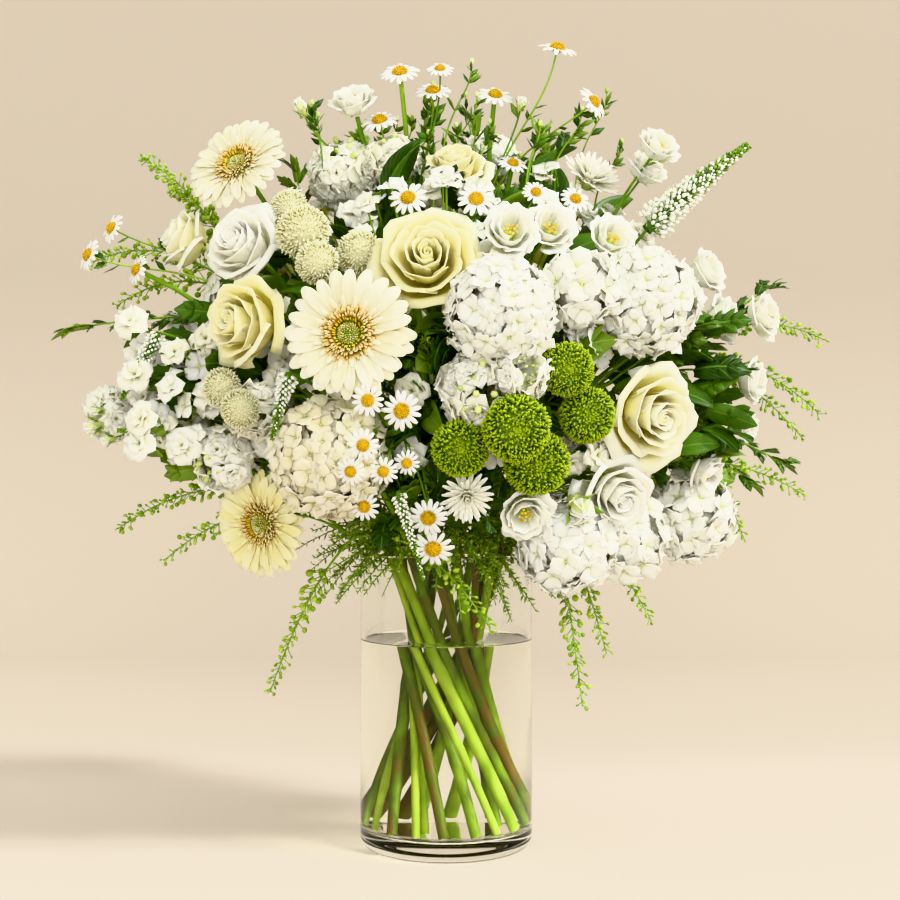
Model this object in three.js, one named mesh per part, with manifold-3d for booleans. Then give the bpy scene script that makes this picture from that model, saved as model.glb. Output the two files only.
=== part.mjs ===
// Floral table centerpiece: a glass cylinder vase of water with a dense, domed
// bouquet of white and cream garden flowers. Millimetres, +Z up. The origin is
// the centre of the vase's underside, and -Y is the side the bouquet faces.
import * as THREE from 'three';
import { mergeVertices } from 'three/addons/utils/BufferGeometryUtils.js';
import Module from 'manifold-3d';

const wasm = await Module();
wasm.setup();

// ---------------------------------------------------------------- dimensions
const GAP = 0.3; // clearance between pieces that touch
const VASE = { radius: 60, height: 206, wall: 3, floor: 14, corner: 10, lip: 0.8, sides: 28 };
const WATER_LEVEL = 145;

const STEM = {
  radius: 3.9, // of a stem in the water
  sides: 5,
  outer: 16, // stems in the outer ring of the spiral
  inner: 3,
  footRadius: 46, // where the feet stand on the vase's floor
  footLift: 1.9, // of a foot's middle, as the slanting end stands on its edge
  neckRadius: 43,
  innerFootRadius: 28,
  innerNeckRadius: 20,
  twist: -2.24, // radians that the spiral turns between foot and neck
  innerTwist: -1.8,
  neckHeight: 214,
  twigRadius: 1.6, // of a stem between the neck and its flower
  sunk: 1.4, // how deep a twig starts in its stem's end, in stem radii
  leave: 0.35, // how far a twig keeps its stem's direction, as a share of its length
  arrive: 0.3, // how far it runs in line with its flower, as a share of its length
  straight: 7, // last stretch of a twig, in line with its flower
  crowding: 0.35, // radians by which each twig that a stem carries puts off the next
  steep: 0.55, // sideways over upward reach, under which a twig takes an inner stem
};

const CROWN_CENTRE = new THREE.Vector3(0, 0, 335); // middle of the flower dome
const CROWN_HALF = new THREE.Vector3(185, 140, 160); // half sizes of the dome
const FRONT_LEAN = 0.45; // how much the front flowers turn to the front

const BRANCH_RADIUS = 1.1; // of a twig within a spray
const KNOB = 3; // radius of the knot where a sprig's stems part
const PODS = 3; // round pods on each stem of penny-cress
const HUB = new THREE.Vector3(0, 0, 240); // where the stems fan out from
const HOLD = 0.55; // how deep in a head a side stem ends, from its middle to its root

// ------------------------------------------------------------------- colours
const COLOURS = {
  glass: ['#dfe8e2', 0.05],
  water: ['#d8e0d0', 0.05],
  stem: ['#86a83a', 0.6],
  ivory: ['#f8f1d8', 0.65],
  disc: ['#b9882f', 0.8],
  cream: ['#f6efc0', 0.65],
  white: ['#fbfaf4', 0.65],
  pompon: ['#e8e4c8', 0.8],
  green: ['#7fa31c', 0.75],
  spike: ['#4f7a26', 0.7],
  pod: ['#8daf3a', 0.6],
  leaf: ['#3f6b1e', 0.6],
};

// ------------------------------------------------------------------- helpers
const vector = (x, y, z) => new THREE.Vector3(x, y, z);

function makeRandom(seed) {
  let state = (seed * 2654435761) >>> 0;
  return () => {
    state = (Math.imul(state, 1664525) + 1013904223) >>> 0;
    return state / 4294967296;
  };
}

// A closed surface under construction: points and outward triangles.
class Net {
  constructor() {
    this.points = [];
    this.faces = [];
  }

  point(x, y, z) {
    this.points.push(x, y, z);
    return this.points.length / 3 - 1;
  }

  face(a, b, c) {
    this.faces.push(a, b, c);
  }

  quad(a, b, c, d) {
    this.face(a, b, c);
    this.face(a, c, d);
  }

  geometry() {
    const shape = new THREE.BufferGeometry();
    shape.setAttribute('position', new THREE.Float32BufferAttribute(this.points, 3));
    shape.setIndex(this.faces);
    return shape;
  }
}

function solidFrom(geometry) {
  const bare = geometry.clone();
  bare.deleteAttribute('normal');
  bare.deleteAttribute('uv');
  const merged = mergeVertices(bare, 1e-4);
  return new wasm.Manifold(new wasm.Mesh({
    numProp: 3,
    vertProperties: new Float32Array(merged.attributes.position.array),
    triVerts: new Uint32Array(merged.index.array),
  }));
}

function geometryFrom(solid) {
  const mesh = solid.getMesh();
  const shape = new THREE.BufferGeometry();
  shape.setAttribute('position', new THREE.Float32BufferAttribute(mesh.vertProperties, 3));
  shape.setIndex(Array.from(mesh.triVerts));
  shape.computeVertexNormals();
  return shape;
}

function fuse(solids) {
  return solids.reduce((whole, piece) => whole.add(piece));
}

// The largest connected body, with loose scraps and sealed hollows left out.
function onePiece(solid) {
  const bodies = solid.decompose();
  return bodies.reduce((best, body) => (body.volume() > best.volume() ? body : best));
}

function boxesMeet(a, b) {
  const first = a.boundingBox();
  const second = b.boundingBox();
  return [0, 1, 2].every((i) => first.min[i] < second.max[i] && second.min[i] < first.max[i]);
}

function cutBy(solid, cutters) {
  return cutters
    .filter((cutter) => boxesMeet(solid, cutter))
    .reduce((rest, cutter) => rest.subtract(cutter), solid);
}

// Joins rings of points into a closed body. Each ring runs anticlockwise round
// the direction of travel, and a ring of one point is a tip.
function loft(rings) {
  const net = new Net();
  const rows = rings.map((ring) => ring.map((p) => net.point(p.x, p.y, p.z)));
  for (let j = 1; j < rows.length; j += 1) {
    const low = rows[j - 1];
    const high = rows[j];
    const count = Math.max(low.length, high.length);
    for (let i = 0; i < count; i += 1) {
      const k = (i + 1) % count;
      if (low.length === 1) net.face(low[0], high[k], high[i]);
      else if (high.length === 1) net.face(low[i], low[k], high[0]);
      else net.quad(low[i], low[k], high[k], high[i]);
    }
  }
  capRow(net, rows[0], true);
  capRow(net, rows[rows.length - 1], false);
  return net.geometry();
}

function capRow(net, row, flipped) {
  for (let i = 1; i < row.length - 1; i += 1) {
    if (flipped) net.face(row[0], row[i + 1], row[i]);
    else net.face(row[0], row[i], row[i + 1]);
  }
}

// Directions across a path at each of its points, carried along it untwisted.
function framesAlong(points) {
  let side = null;
  return points.map((point, i) => {
    const before = points[Math.max(i - 1, 0)];
    const after = points[Math.min(i + 1, points.length - 1)];
    const along = after.clone().sub(before).normalize();
    if (side === null) side = Math.abs(along.z) < 0.9 ? vector(0, 0, 1) : vector(1, 0, 0);
    side = side.clone().addScaledVector(along, -side.dot(along)).normalize();
    return { point, along, side, over: along.clone().cross(side) };
  });
}

// A rod of round section along a path; radiusAt takes 0 to 1 along it.
function rod(points, radiusAt, sides, grow) {
  const last = points.length - 1;
  const rings = framesAlong(points).map((frame, i) => {
    const end = i === 0 ? -grow : grow * Number(i === last);
    const centre = frame.point.clone().addScaledVector(frame.along, end);
    const radius = radiusAt(i / last) + grow;
    return Array.from({ length: sides }, (unused, k) => {
      const angle = (k / sides) * 2 * Math.PI;
      return centre.clone()
        .addScaledVector(frame.side, radius * Math.cos(angle))
        .addScaledVector(frame.over, radius * Math.sin(angle));
    });
  });
  return solidFrom(loft(rings));
}

// A ball with its surface drawn in and out by turns, for buds and florets.
function relief({ radius, height, base, sides, rows, depth }) {
  const rings = [];
  for (let j = 1; j < rows; j += 1) {
    const angle = (j / rows) * Math.PI;
    const ring = Array.from({ length: sides }, (unused, k) => {
      const swell = 1 + ((j + k) % 2 === 0 ? depth : -depth);
      const turn = (k / sides) * 2 * Math.PI;
      const reach = radius * Math.sin(angle) * swell;
      const rise = height * swell * -Math.cos(angle);
      return vector(reach * Math.cos(turn), reach * Math.sin(turn), base + rise);
    });
    rings.push(ring);
  }
  const bottom = [vector(0, 0, base - height)];
  const top = [vector(0, 0, base + height * (1 - depth))];
  return loft([bottom, ...rings, top]);
}

function cone(radiusLow, low, radiusHigh, high, sides) {
  const ring = (radius, z) => Array.from({ length: sides }, (unused, k) => {
    const angle = (k / sides) * 2 * Math.PI;
    return vector(radius * Math.cos(angle), radius * Math.sin(angle), z);
  });
  return loft([ring(radiusLow, low), ring(radiusHigh, high)]);
}

// A flower as one folded surface, from its root out along the underside, over
// the lip of each layer of petals and down again to its heart. Each row is
// [radius, height, how far petals stand out, how far their tips rise], and the
// petals of one layer stand over the gaps of the layer before it.
function folded({ petals, root, rows, heart }) {
  const sides = petals * 2;
  const rings = rows.map(([radius, height, wave = 0, rise = 0], j) => (
    Array.from({ length: sides }, (unused, k) => {
      const turn = (k / sides) * 2 * Math.PI;
      const swell = (k + Math.floor(j / 2)) % 2 === 0 ? 1 : -1;
      const reach = radius * (1 + wave * swell);
      return vector(reach * Math.cos(turn), reach * Math.sin(turn), height + rise * swell);
    })));
  return loft([[vector(0, 0, root)], ...rings, [vector(0, 0, heart)]]);
}

// A flat flower as a star of blunt petals with a smaller star on top of it. Its
// underside runs down to a point.
function star({ petals, radius, notch, middle, root, spread, inner }) {
  const step = (2 * Math.PI) / petals;
  const outline = (reach, cut, z) => Array.from({ length: petals * 3 }, (unused, i) => {
    const part = i % 3;
    const centre = Math.floor(i / 3) * step;
    const aside = [-1, -spread, spread][part];
    const turn = centre + (step / 2) * aside;
    const away = part === 0 ? cut : reach;
    return vector(away * Math.cos(turn), away * Math.sin(turn), z);
  });
  const outer = outline(radius, notch, 0);
  const upper = outline(radius * inner.scale, notch * 0.86, inner.height);
  return loft([[vector(0, 0, root)], outer, upper, [vector(0, 0, middle)]]);
}

// A leaf blade from its stalk to its tip, with lobes along both edges. It is
// flat underneath, with a low ridge along its midrib on top.
function leafBlade({ stalk, from, to, width, arch, lobes, grow }) {
  const thick = 1.4;
  const middle = from.clone().lerp(to, 0.5).add(vector(0, 0, arch));
  const curve = new THREE.QuadraticBezierCurve3(from, middle, to);
  const flat = vector(to.y - from.y, from.x - to.x, 0).normalize();
  const steps = lobes * 2;
  const points = [stalk, ...curve.getPoints(steps)];
  const last = points.length - 1;
  const rings = framesAlong(points).map((frame, i) => {
    const share = Math.max(i - 1, 0) / steps;
    const side = flat.clone().addScaledVector(frame.along, -flat.dot(frame.along)).normalize();
    const over = frame.along.clone().cross(side);
    const outline = Math.sin(Math.PI * (0.12 + share * 0.82)) * (i % 2 === 1 ? 0.5 : 1);
    const reach = (i < 2 ? 1.2 : width * outline) * (1 + grow) + grow;
    const end = i === 0 ? -grow : grow * Number(i === last);
    const centre = frame.point.clone().addScaledVector(frame.along, end);
    return [
      centre.clone().addScaledVector(side, reach).addScaledVector(over, -grow),
      centre.clone().addScaledVector(over, thick + grow),
      centre.clone().addScaledVector(side, -reach).addScaledVector(over, -grow),
    ];
  });
  return solidFrom(loft(rings));
}

// A ball covered by twelve four-petal florets. Each takes one face of a rhombic
// dodecahedron: its petals point to the corners, with deep gaps between florets.
function floretBall(radius) {
  const net = new Net();
  const known = new Map();
  const spot = (direction, reach) => {
    const place = direction.clone().setLength(radius * reach);
    const key = place.toArray().map((value) => value.toFixed(3)).join();
    if (!known.has(key)) known.set(key, net.point(place.x, place.y, place.z));
    return known.get(key);
  };
  [[0, 1, 2], [1, 2, 0], [2, 0, 1]].forEach(([first, second, third]) => {
    [[1, 1], [-1, 1], [-1, -1], [1, -1]].forEach(([s, t]) => {
      const along = (x, y, z) => {
        const place = [0, 0, 0];
        place[first] = x;
        place[second] = y;
        place[third] = z;
        return vector(...place);
      };
      const ring = [along(2 * s, 0, 0), along(s, t, 1), along(0, 2 * t, 0), along(s, t, -1)];
      if (s * t > 0) ring.reverse();
      const middle = along(s, t, 0);
      ring.forEach((corner, i) => {
        const next = corner.clone().add(ring[(i + 1) % 4]);
        const last = corner.clone().add(ring[(i + 3) % 4]);
        const edge = [spot(middle, 0.84), spot(last, 0.68), spot(corner, 0.7), spot(next, 0.68)];
        const petal = spot(middle.clone().setLength(0.45).add(corner.clone().setLength(0.55)), 1.02);
        edge.forEach((point, k) => net.face(petal, point, edge[(k + 1) % 4]));
      });
    });
  });
  return net.geometry();
}

// -------------------------------------------------------------- flower heads
// Each head is built round the origin facing +Z: its petals as one closed
// surface, the height of the root where its stem meets it, and for a gerbera the
// disc as a second piece.
const HEADS = {
  gerbera(radius) {
    const petals = star({
      petals: 16, radius, notch: radius * 0.5, middle: 1, root: -radius * 0.32, spread: 0.62,
      inner: { scale: 0.72, height: 4.5 },
    });
    const middle = { radius: radius * 0.36, height: 3.4, base: 6, sides: 12, rows: 3, depth: 0.08 };
    const disc = relief(middle);
    return { petals, root: -radius * 0.32, disc };
  },

  rose(radius) {
    const rows = [
      [radius * 0.34, -radius * 0.5], [radius * 0.94, 0, 0.08, radius * 0.06],
      [radius * 0.6, -radius * 0.12], [radius * 0.68, radius * 0.34, 0.08, radius * 0.07],
      [radius * 0.36, radius * 0.12], [radius * 0.34, radius * 0.56, 0.12, radius * 0.06],
    ];
    const root = -radius * 0.8;
    return { petals: folded({ petals: 5, root, rows, heart: radius * 0.34 }), root };
  },

  lisianthus(radius) {
    const rows = [
      [radius * 0.36, -radius * 0.46], [radius * 0.92, radius * 0.1, 0.1, radius * 0.14],
      [radius * 0.42, -radius * 0.16], [radius * 0.5, radius * 0.3, 0.12, radius * 0.08],
      [radius * 0.24, -radius * 0.1],
    ];
    const shown = radius > 24 ? rows : rows.slice(0, 3);
    const root = -radius * 0.75;
    return { petals: folded({ petals: 5, root, rows: shown, heart: radius * 0.24 }), root };
  },

  mum(radius) {
    const rows = [
      [radius * 0.4, -radius * 0.3], [radius * 0.82, 0, 0.24, 0],
      [radius * 0.5, radius * 0.06], [radius * 0.6, radius * 0.36, 0.26, radius * 0.04],
      [radius * 0.3, radius * 0.26],
    ];
    const root = -radius * 0.6;
    return { petals: folded({ petals: 9, root, rows, heart: radius * 0.62 }), root };
  },

  hydrangea(radius) {
    return { petals: floretBall(radius), root: -radius * 0.72 };
  },

  stock(radius) {
    const rows = [
      [radius * 0.4, -radius * 0.5], [radius * 0.84, -radius * 0.1, 0.2, radius * 0.08],
      [radius * 0.56, -radius * 0.04], [radius * 0.62, radius * 0.36, 0.22, radius * 0.06],
      [radius * 0.26, radius * 0.34],
    ];
    const shown = radius > 20 ? rows : rows.slice(0, 3);
    const root = -radius * 0.85;
    return { petals: folded({ petals: 5, root, rows: shown, heart: radius * 0.8 }), root };
  },

  pompon(radius) {
    const height = radius * 0.8;
    return { petals: relief({ radius, height, base: 0, sides: 7, rows: 5, depth: 0.07 }), root: -height };
  },

  button(radius) {
    const height = radius * 0.78;
    return { petals: relief({ radius, height, base: 0, sides: 7, rows: 5, depth: 0.05 }), root: -height };
  },

  chamomile(radius) {
    const rows = [[radius * 0.74, 0, 0.34]];
    const root = -radius * 0.5;
    return { petals: folded({ petals: 7, root, rows, heart: radius * 0.45 }), root };
  },

  bud(radius) {
    const round = { radius: radius * 0.72, height: radius, base: 0, sides: 6, rows: 4, depth: 0.05 };
    return { petals: relief(round), root: -radius };
  },
};

function frameAt(centre, facing, spin) {
  const z = facing.clone().normalize();
  const x = (Math.abs(z.z) > 0.95 ? vector(0, 1, 0) : vector(0, 0, 1)).cross(z).normalize();
  const y = z.clone().cross(x);
  const frame = new THREE.Matrix4().makeBasis(x, y, z);
  frame.multiply(new THREE.Matrix4().makeRotationZ(spin));
  return frame.setPosition(centre);
}

// ------------------------------------------------------------------- bouquet
// Every flower head: kind, x, y, z of its middle and its radius. A head in the
// list turns outward from the dome; a sixth entry turns it another way.
const BUNCHES = [
  ['gerbera_top_left', 'ivory', [['gerbera', -141, -33, 470, 38, [-0.5, -1, 0.6]]]],
  ['gerbera_front', 'ivory', [['gerbera', -59, -140, 348, 42, [-0.15, -1, 0.15]]]],
  ['gerbera_low_left', 'ivory', [['gerbera', -122, -57, 228, 37, [-0.6, -1, -0.15]]]],
  ['gerbera_back', 'ivory', [['gerbera', -35, 118, 400, 40]]],
  ['rose_centre', 'cream', [['rose', -11, -120, 396, 38]]],
  ['rose_left', 'cream', [['rose', -130, -95, 359, 33, [-0.9, -1, 0.1]]]],
  ['rose_far_left', 'cream', [['rose', -180, -24, 422, 24, [-1, -0.4, 0.5]]]],
  ['rose_right', 'cream', [['rose', 133, -88, 299, 36]]],
  ['rose_back_left', 'cream', [['rose', -128, 72, 392, 36]]],
  ['rose_back_right', 'cream', [['rose', 92, 86, 418, 36]]],
  ['spray_rose', 'cream', [['rose', 7, -46, 467, 24, [0, -0.8, 1]]]],
  ['lisianthus_left', 'white', [['lisianthus', -134, -66, 412, 30]]],
  ['lisianthus_right', 'white', [['lisianthus', 179, -21, 400, 19], ['lisianthus', 192, -15, 367, 20],
    ['lisianthus', 217, -28, 369, 18], ['lisianthus', 143, -44, 481, 17],
    ['lisianthus', 138, -23, 469, 17]]],
  ['lisianthus_middle', 'white', [['lisianthus', 41, -113, 415, 21], ['lisianthus', 67, -96, 419, 20],
    ['lisianthus', 108, -83, 414, 19]]],
  ['lisianthus_low', 'white', [['lisianthus', 110, -89, 248, 28], ['lisianthus', 50, -104, 236, 20],
    ['bud', 86, -107, 239, 12]]],
  ['lisianthus_top', 'white', [['lisianthus', -63, -40, 513, 17], ['bud', -98, -41, 508, 8]]],
  ['lisianthus_side', 'white', [['lisianthus', 211, -20, 324, 17], ['lisianthus', 208, -19, 292, 12],
    ['lisianthus', 177, -31, 260, 18]]],
  ['lisianthus_back', 'white', [['lisianthus', 150, 75, 330, 24], ['lisianthus', 172, 50, 372, 21],
    ['lisianthus', 128, 82, 262, 24]]],
  ['white_mum_top', 'white', [['mum', 99, -24, 463, 24]]],
  ['white_mum_low', 'white', [['mum', 13, -119, 248, 19]]],
  ['hydrangea_right', 'white', [['hydrangea', 127, -97, 372, 34], ['hydrangea', 84, -118, 377, 22]]],
  ['hydrangea_centre', 'white', [['hydrangea', 34, -139, 362, 33]]],
  ['hydrangea_left', 'white', [['hydrangea', -73, -112, 273, 37]]],
  ['hydrangea_low', 'white', [['hydrangea', 79, -79, 216, 30], ['hydrangea', 118, -49, 219, 28],
    ['hydrangea', 169, -7, 231, 30]]],
  ['hydrangea_back', 'white', [['hydrangea', 62, 132, 318, 36], ['hydrangea', -74, 118, 288, 35]]],
  ['stock_top', 'white', [['stock', -70, -21, 466, 31], ['stock', -36, -34, 474, 21]]],
  ['stock_centre', 'white', [['stock', 21, -126, 315, 30], ['stock', 46, -145, 325, 16]]],
  ['stock_left', 'white', [['stock', -196, 10, 337, 26], ['stock', -188, 12, 304, 26],
    ['stock', -148, -62, 272, 24], ['stock', -230, -19, 300, 20], ['bud', -239, -38, 293, 8],
    ['stock', -124, -84, 303, 20]]],
  ['stock_back', 'white', [['stock', -160, 55, 310, 28], ['stock', -178, 35, 362, 24]]],
  ['stock_crown', 'white', [['stock', 30, 30, 486, 24], ['stock', -20, 62, 470, 22]]],
  ['pompons_top', 'pompon', [['pompon', -92, -95, 417, 19], ['pompon', -81, -116, 395, 15],
    ['pompon', -55, -105, 402, 16], ['pompon', -105, -56, 438, 14]]],
  ['pompons_left', 'pompon', [['pompon', -144, -94, 317, 14], ['pompon', -130, -110, 303, 14]]],
  ['pompons_back', 'pompon', [['pompon', 28, 132, 368, 16], ['pompon', 48, 118, 390, 15]]],
  ['green_mums_right', 'green', [['button', 75, -131, 327, 18], ['button', 89, -116, 299, 19]]],
  ['green_mums_centre', 'green', [['button', 43, -150, 290, 22], ['button', 57, -120, 269, 22],
    ['button', 9, -133, 278, 19]]],
  ['green_mums_back', 'green', [['button', -12, 151, 330, 19], ['button', -40, 132, 338, 18]]],
  ['chamomile_top', 'white', [['chamomile', -31, -46, 530, 13], ['chamomile', -9, -39, 519, 12],
    ['chamomile', -4, -48, 532, 9], ['chamomile', -45, -34, 500, 13]]],
  ['chamomile_top_right', 'white', [['chamomile', 33, -40, 516, 12],
    ['chamomile', 74, -54, 544, 13, [0.2, -0.4, 1]],
    ['chamomile', 99, -42, 511, 12, [0.8, -0.6, 0.6]], ['bud', 51, -39, 511, 6]]],
  ['chamomile_upper', 'white', [['chamomile', 45, -40, 470, 10], ['chamomile', 58, -89, 443, 9],
    ['chamomile', -24, -111, 436, 12], ['chamomile', 19, -113, 435, 12], ['chamomile', 84, -80, 440, 10]]],
  ['chamomile_left', 'white', [['chamomile', -211, -26, 400, 11], ['chamomile', -226, -36, 427, 11],
    ['chamomile', -242, -36, 409, 11]]],
  ['chamomile_front', 'white', [['chamomile', -47, -158, 307, 10], ['chamomile', -27, -145, 301, 12],
    ['chamomile', -50, -156, 280, 10], ['chamomile', -58, -149, 264, 9], ['chamomile', -38, -149, 264, 9],
    ['chamomile', -51, -125, 242, 10], ['chamomile', -24, -142, 269, 8],
    ['chamomile', -11, -124, 235, 12], ['chamomile', -8, -112, 215, 13]]],
  ['chamomile_back', 'white', [['chamomile', -62, 62, 462, 12], ['chamomile', -28, 40, 490, 12],
    ['chamomile', -90, 60, 452, 11]]],
];

function outwardFrom(centre) {
  const from = centre.clone().sub(CROWN_CENTRE);
  from.divide(CROWN_HALF.clone().multiply(CROWN_HALF)).normalize();
  if (centre.y < 20) from.y -= FRONT_LEAN;
  return from.normalize();
}

function makeHeads() {
  let seed = 1;
  return BUNCHES.map(([name, colour, rows]) => {
    const heads = rows.map(([kind, x, y, z, radius, turned]) => {
      seed += 1;
      const random = makeRandom(seed);
      const centre = vector(x, y, z);
      const facing = turned ? vector(...turned).normalize() : outwardFrom(centre);
      const form = HEADS[kind](radius);
      const frame = frameAt(centre, facing, random() * Math.PI);
      const disc = form.disc ? solidFrom(form.disc.applyMatrix4(frame)) : null;
      return {
        bunch: name,
        centre,
        facing,
        radius,
        disc,
        solid: solidFrom(form.petals.applyMatrix4(frame)),
        seat: centre.clone().addScaledVector(facing, form.root),
      };
    });
    return { name, colour, heads };
  });
}

// Two heads that would cross are parted by a plane half way between them.
function partHeads(head, other) {
  const between = head.centre.clone().sub(other.centre);
  const distance = between.length();
  if (!boxesMeet(head.solid, other.solid)) return;
  if (head.solid.intersect(other.solid).isEmpty()) return;
  between.normalize();
  const own = (distance ** 2 + head.radius ** 2 - other.radius ** 2) / (2 * distance);
  const edge = head.centre.clone().addScaledVector(between, -own).dot(between);
  const facing = between.toArray();
  const back = between.clone().negate().toArray();
  head.solid = head.solid.trimByPlane(facing, edge + GAP / 2);
  other.solid = other.solid.trimByPlane(back, -edge + GAP / 2);
}

function partAllHeads(heads) {
  heads.forEach((head, index) => {
    heads.slice(index + 1)
      .filter((other) => other.bunch !== head.bunch)
      .forEach((other) => partHeads(head, other));
  });
}

// ---------------------------------------------------------------------- stems
function spiralRing(count, foot, neck, twist) {
  return Array.from({ length: count }, (unused, k) => {
    const start = (k / count) * 2 * Math.PI;
    const end = start + twist;
    return {
      foot: vector(foot * Math.cos(start), foot * Math.sin(start), VASE.floor + STEM.footLift),
      neck: vector(neck * Math.cos(end), neck * Math.sin(end), STEM.neckHeight),
      carried: 0,
    };
  });
}

// The stem in the ring whose neck lies nearest in direction and carries least.
function nearestStem(ring, target) {
  const bearing = Math.atan2(target.y, target.x);
  const cost = (stem) => {
    const turn = Math.abs(Math.atan2(stem.neck.y, stem.neck.x) - bearing);
    return Math.min(turn, 2 * Math.PI - turn) + stem.carried * STEM.crowding;
  };
  const best = ring.reduce((a, b) => (cost(b) < cost(a) ? b : a));
  best.carried += 1;
  return best;
}

// A twig from a stem's neck to where it carries a flower or a spray.
function twigPath(stem, target, arriving) {
  const rise = stem.neck.clone().sub(stem.foot).normalize();
  const length = stem.neck.distanceTo(target);
  const leave = stem.neck.clone().addScaledVector(rise, length * STEM.leave);
  const arrive = target.clone().addScaledVector(arriving, -length * STEM.arrive);
  const curve = new THREE.CubicBezierCurve3(stem.neck, leave, arrive, target);
  const start = stem.neck.clone().addScaledVector(rise, -STEM.radius * STEM.sunk);
  const last = target.clone().addScaledVector(arriving, -STEM.straight);
  return [start, curve.getPoint(0.5), last, target];
}

function stemRods(rings, twigs, grow) {
  const whole = ({ foot, neck }) => rod([foot, neck], () => STEM.radius, STEM.sides, grow);
  const stems = rings.flat().map(whole);
  const thin = twigs.map((path) => rod(path, () => STEM.twigRadius, 3, grow));
  return fuse([...stems, ...thin]);
}

// ------------------------------------------------------------ sprays and leaves
function branchPath(from, to, arriving) {
  const bend = to.clone().addScaledVector(arriving, -from.distanceTo(to) * 0.4);
  return new THREE.QuadraticBezierCurve3(from, bend, to).getPoints(2);
}

function knob(centre, grow) {
  const ball = relief({ radius: KNOB + grow, height: KNOB + grow, base: 0, sides: 4, rows: 3, depth: 0 });
  return solidFrom(ball.translate(centre.x, centre.y, centre.z));
}

// Side stems of a spray: each flower head hangs on the nearest one before it.
function sideStems(heads, grow) {
  const inside = ({ centre, seat }) => centre.clone().lerp(seat, HOLD);
  const rods = heads.slice(1).map((head, index) => {
    const before = heads.slice(0, index + 1);
    const gap = (other) => other.centre.distanceTo(head.centre);
    const near = before.reduce((best, other) => (gap(other) < gap(best) ? other : best));
    return rod([inside(near), inside(head)], () => BRANCH_RADIUS, 3, grow);
  });
  return fuse(rods);
}

function veronica(joint, spikes, grow) {
  const pieces = [knob(joint, grow)];
  spikes.forEach(([start, end, radius]) => {
    const base = vector(...start);
    const tip = vector(...end);
    const along = tip.clone().sub(base);
    const bend = base.clone().lerp(tip, 0.5).add(vector(0, 0, along.length() * 0.06));
    const curve = new THREE.QuadraticBezierCurve3(base, bend, tip);
    const rows = Math.round(along.length() / 9);
    const swell = (share) => {
      const wave = Math.round(share * rows) % 2 === 0 ? 1 : 0.72;
      return radius * wave * (1 - share * 0.72);
    };
    pieces.push(rod(curve.getPoints(rows), swell, 5, grow));
    pieces.push(rod(branchPath(joint, base, along.normalize()), () => BRANCH_RADIUS * 1.3, 3, grow));
  });
  return fuse(pieces);
}

// Penny-cress: thin stems that swell into round pods, to either side by turns.
function pennyCress(joint, tips, grow) {
  const stems = tips.map(([x, y, z], index) => {
    const tip = vector(x, y, z);
    const bend = joint.clone().lerp(tip, 0.55).add(vector(0, 0, 10));
    const curve = new THREE.QuadraticBezierCurve3(joint, bend, tip);
    const steps = PODS * 2 + 1;
    const points = Array.from({ length: steps + 1 }, (unused, k) => {
      if (k === 0) return joint.clone();
      const point = curve.getPoint(0.55 + 0.45 * ((k - 1) / (steps - 1)));
      const turn = index + k * 1.3;
      const aside = k % 2 === 0 && k < steps ? 4.5 : 0;
      return point.add(vector(Math.cos(turn), Math.sin(turn), 0).multiplyScalar(aside));
    });
    const swell = (share) => {
      const k = Math.round(share * steps);
      return k > 0 && k % 2 === 0 ? 2.6 : 0.8;
    };
    return rod(points, swell, 3, grow);
  });
  return fuse([knob(joint, grow), ...stems]);
}

function leafySprig(joint, leaves, grow) {
  const blades = leaves.map(([start, end, width, lobes]) => {
    const from = vector(...start);
    const to = vector(...end);
    return leafBlade({ stalk: joint, from, to, width, arch: from.distanceTo(to) * 0.2, lobes, grow });
  });
  return fuse([knob(joint, grow), ...blades]);
}

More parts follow.
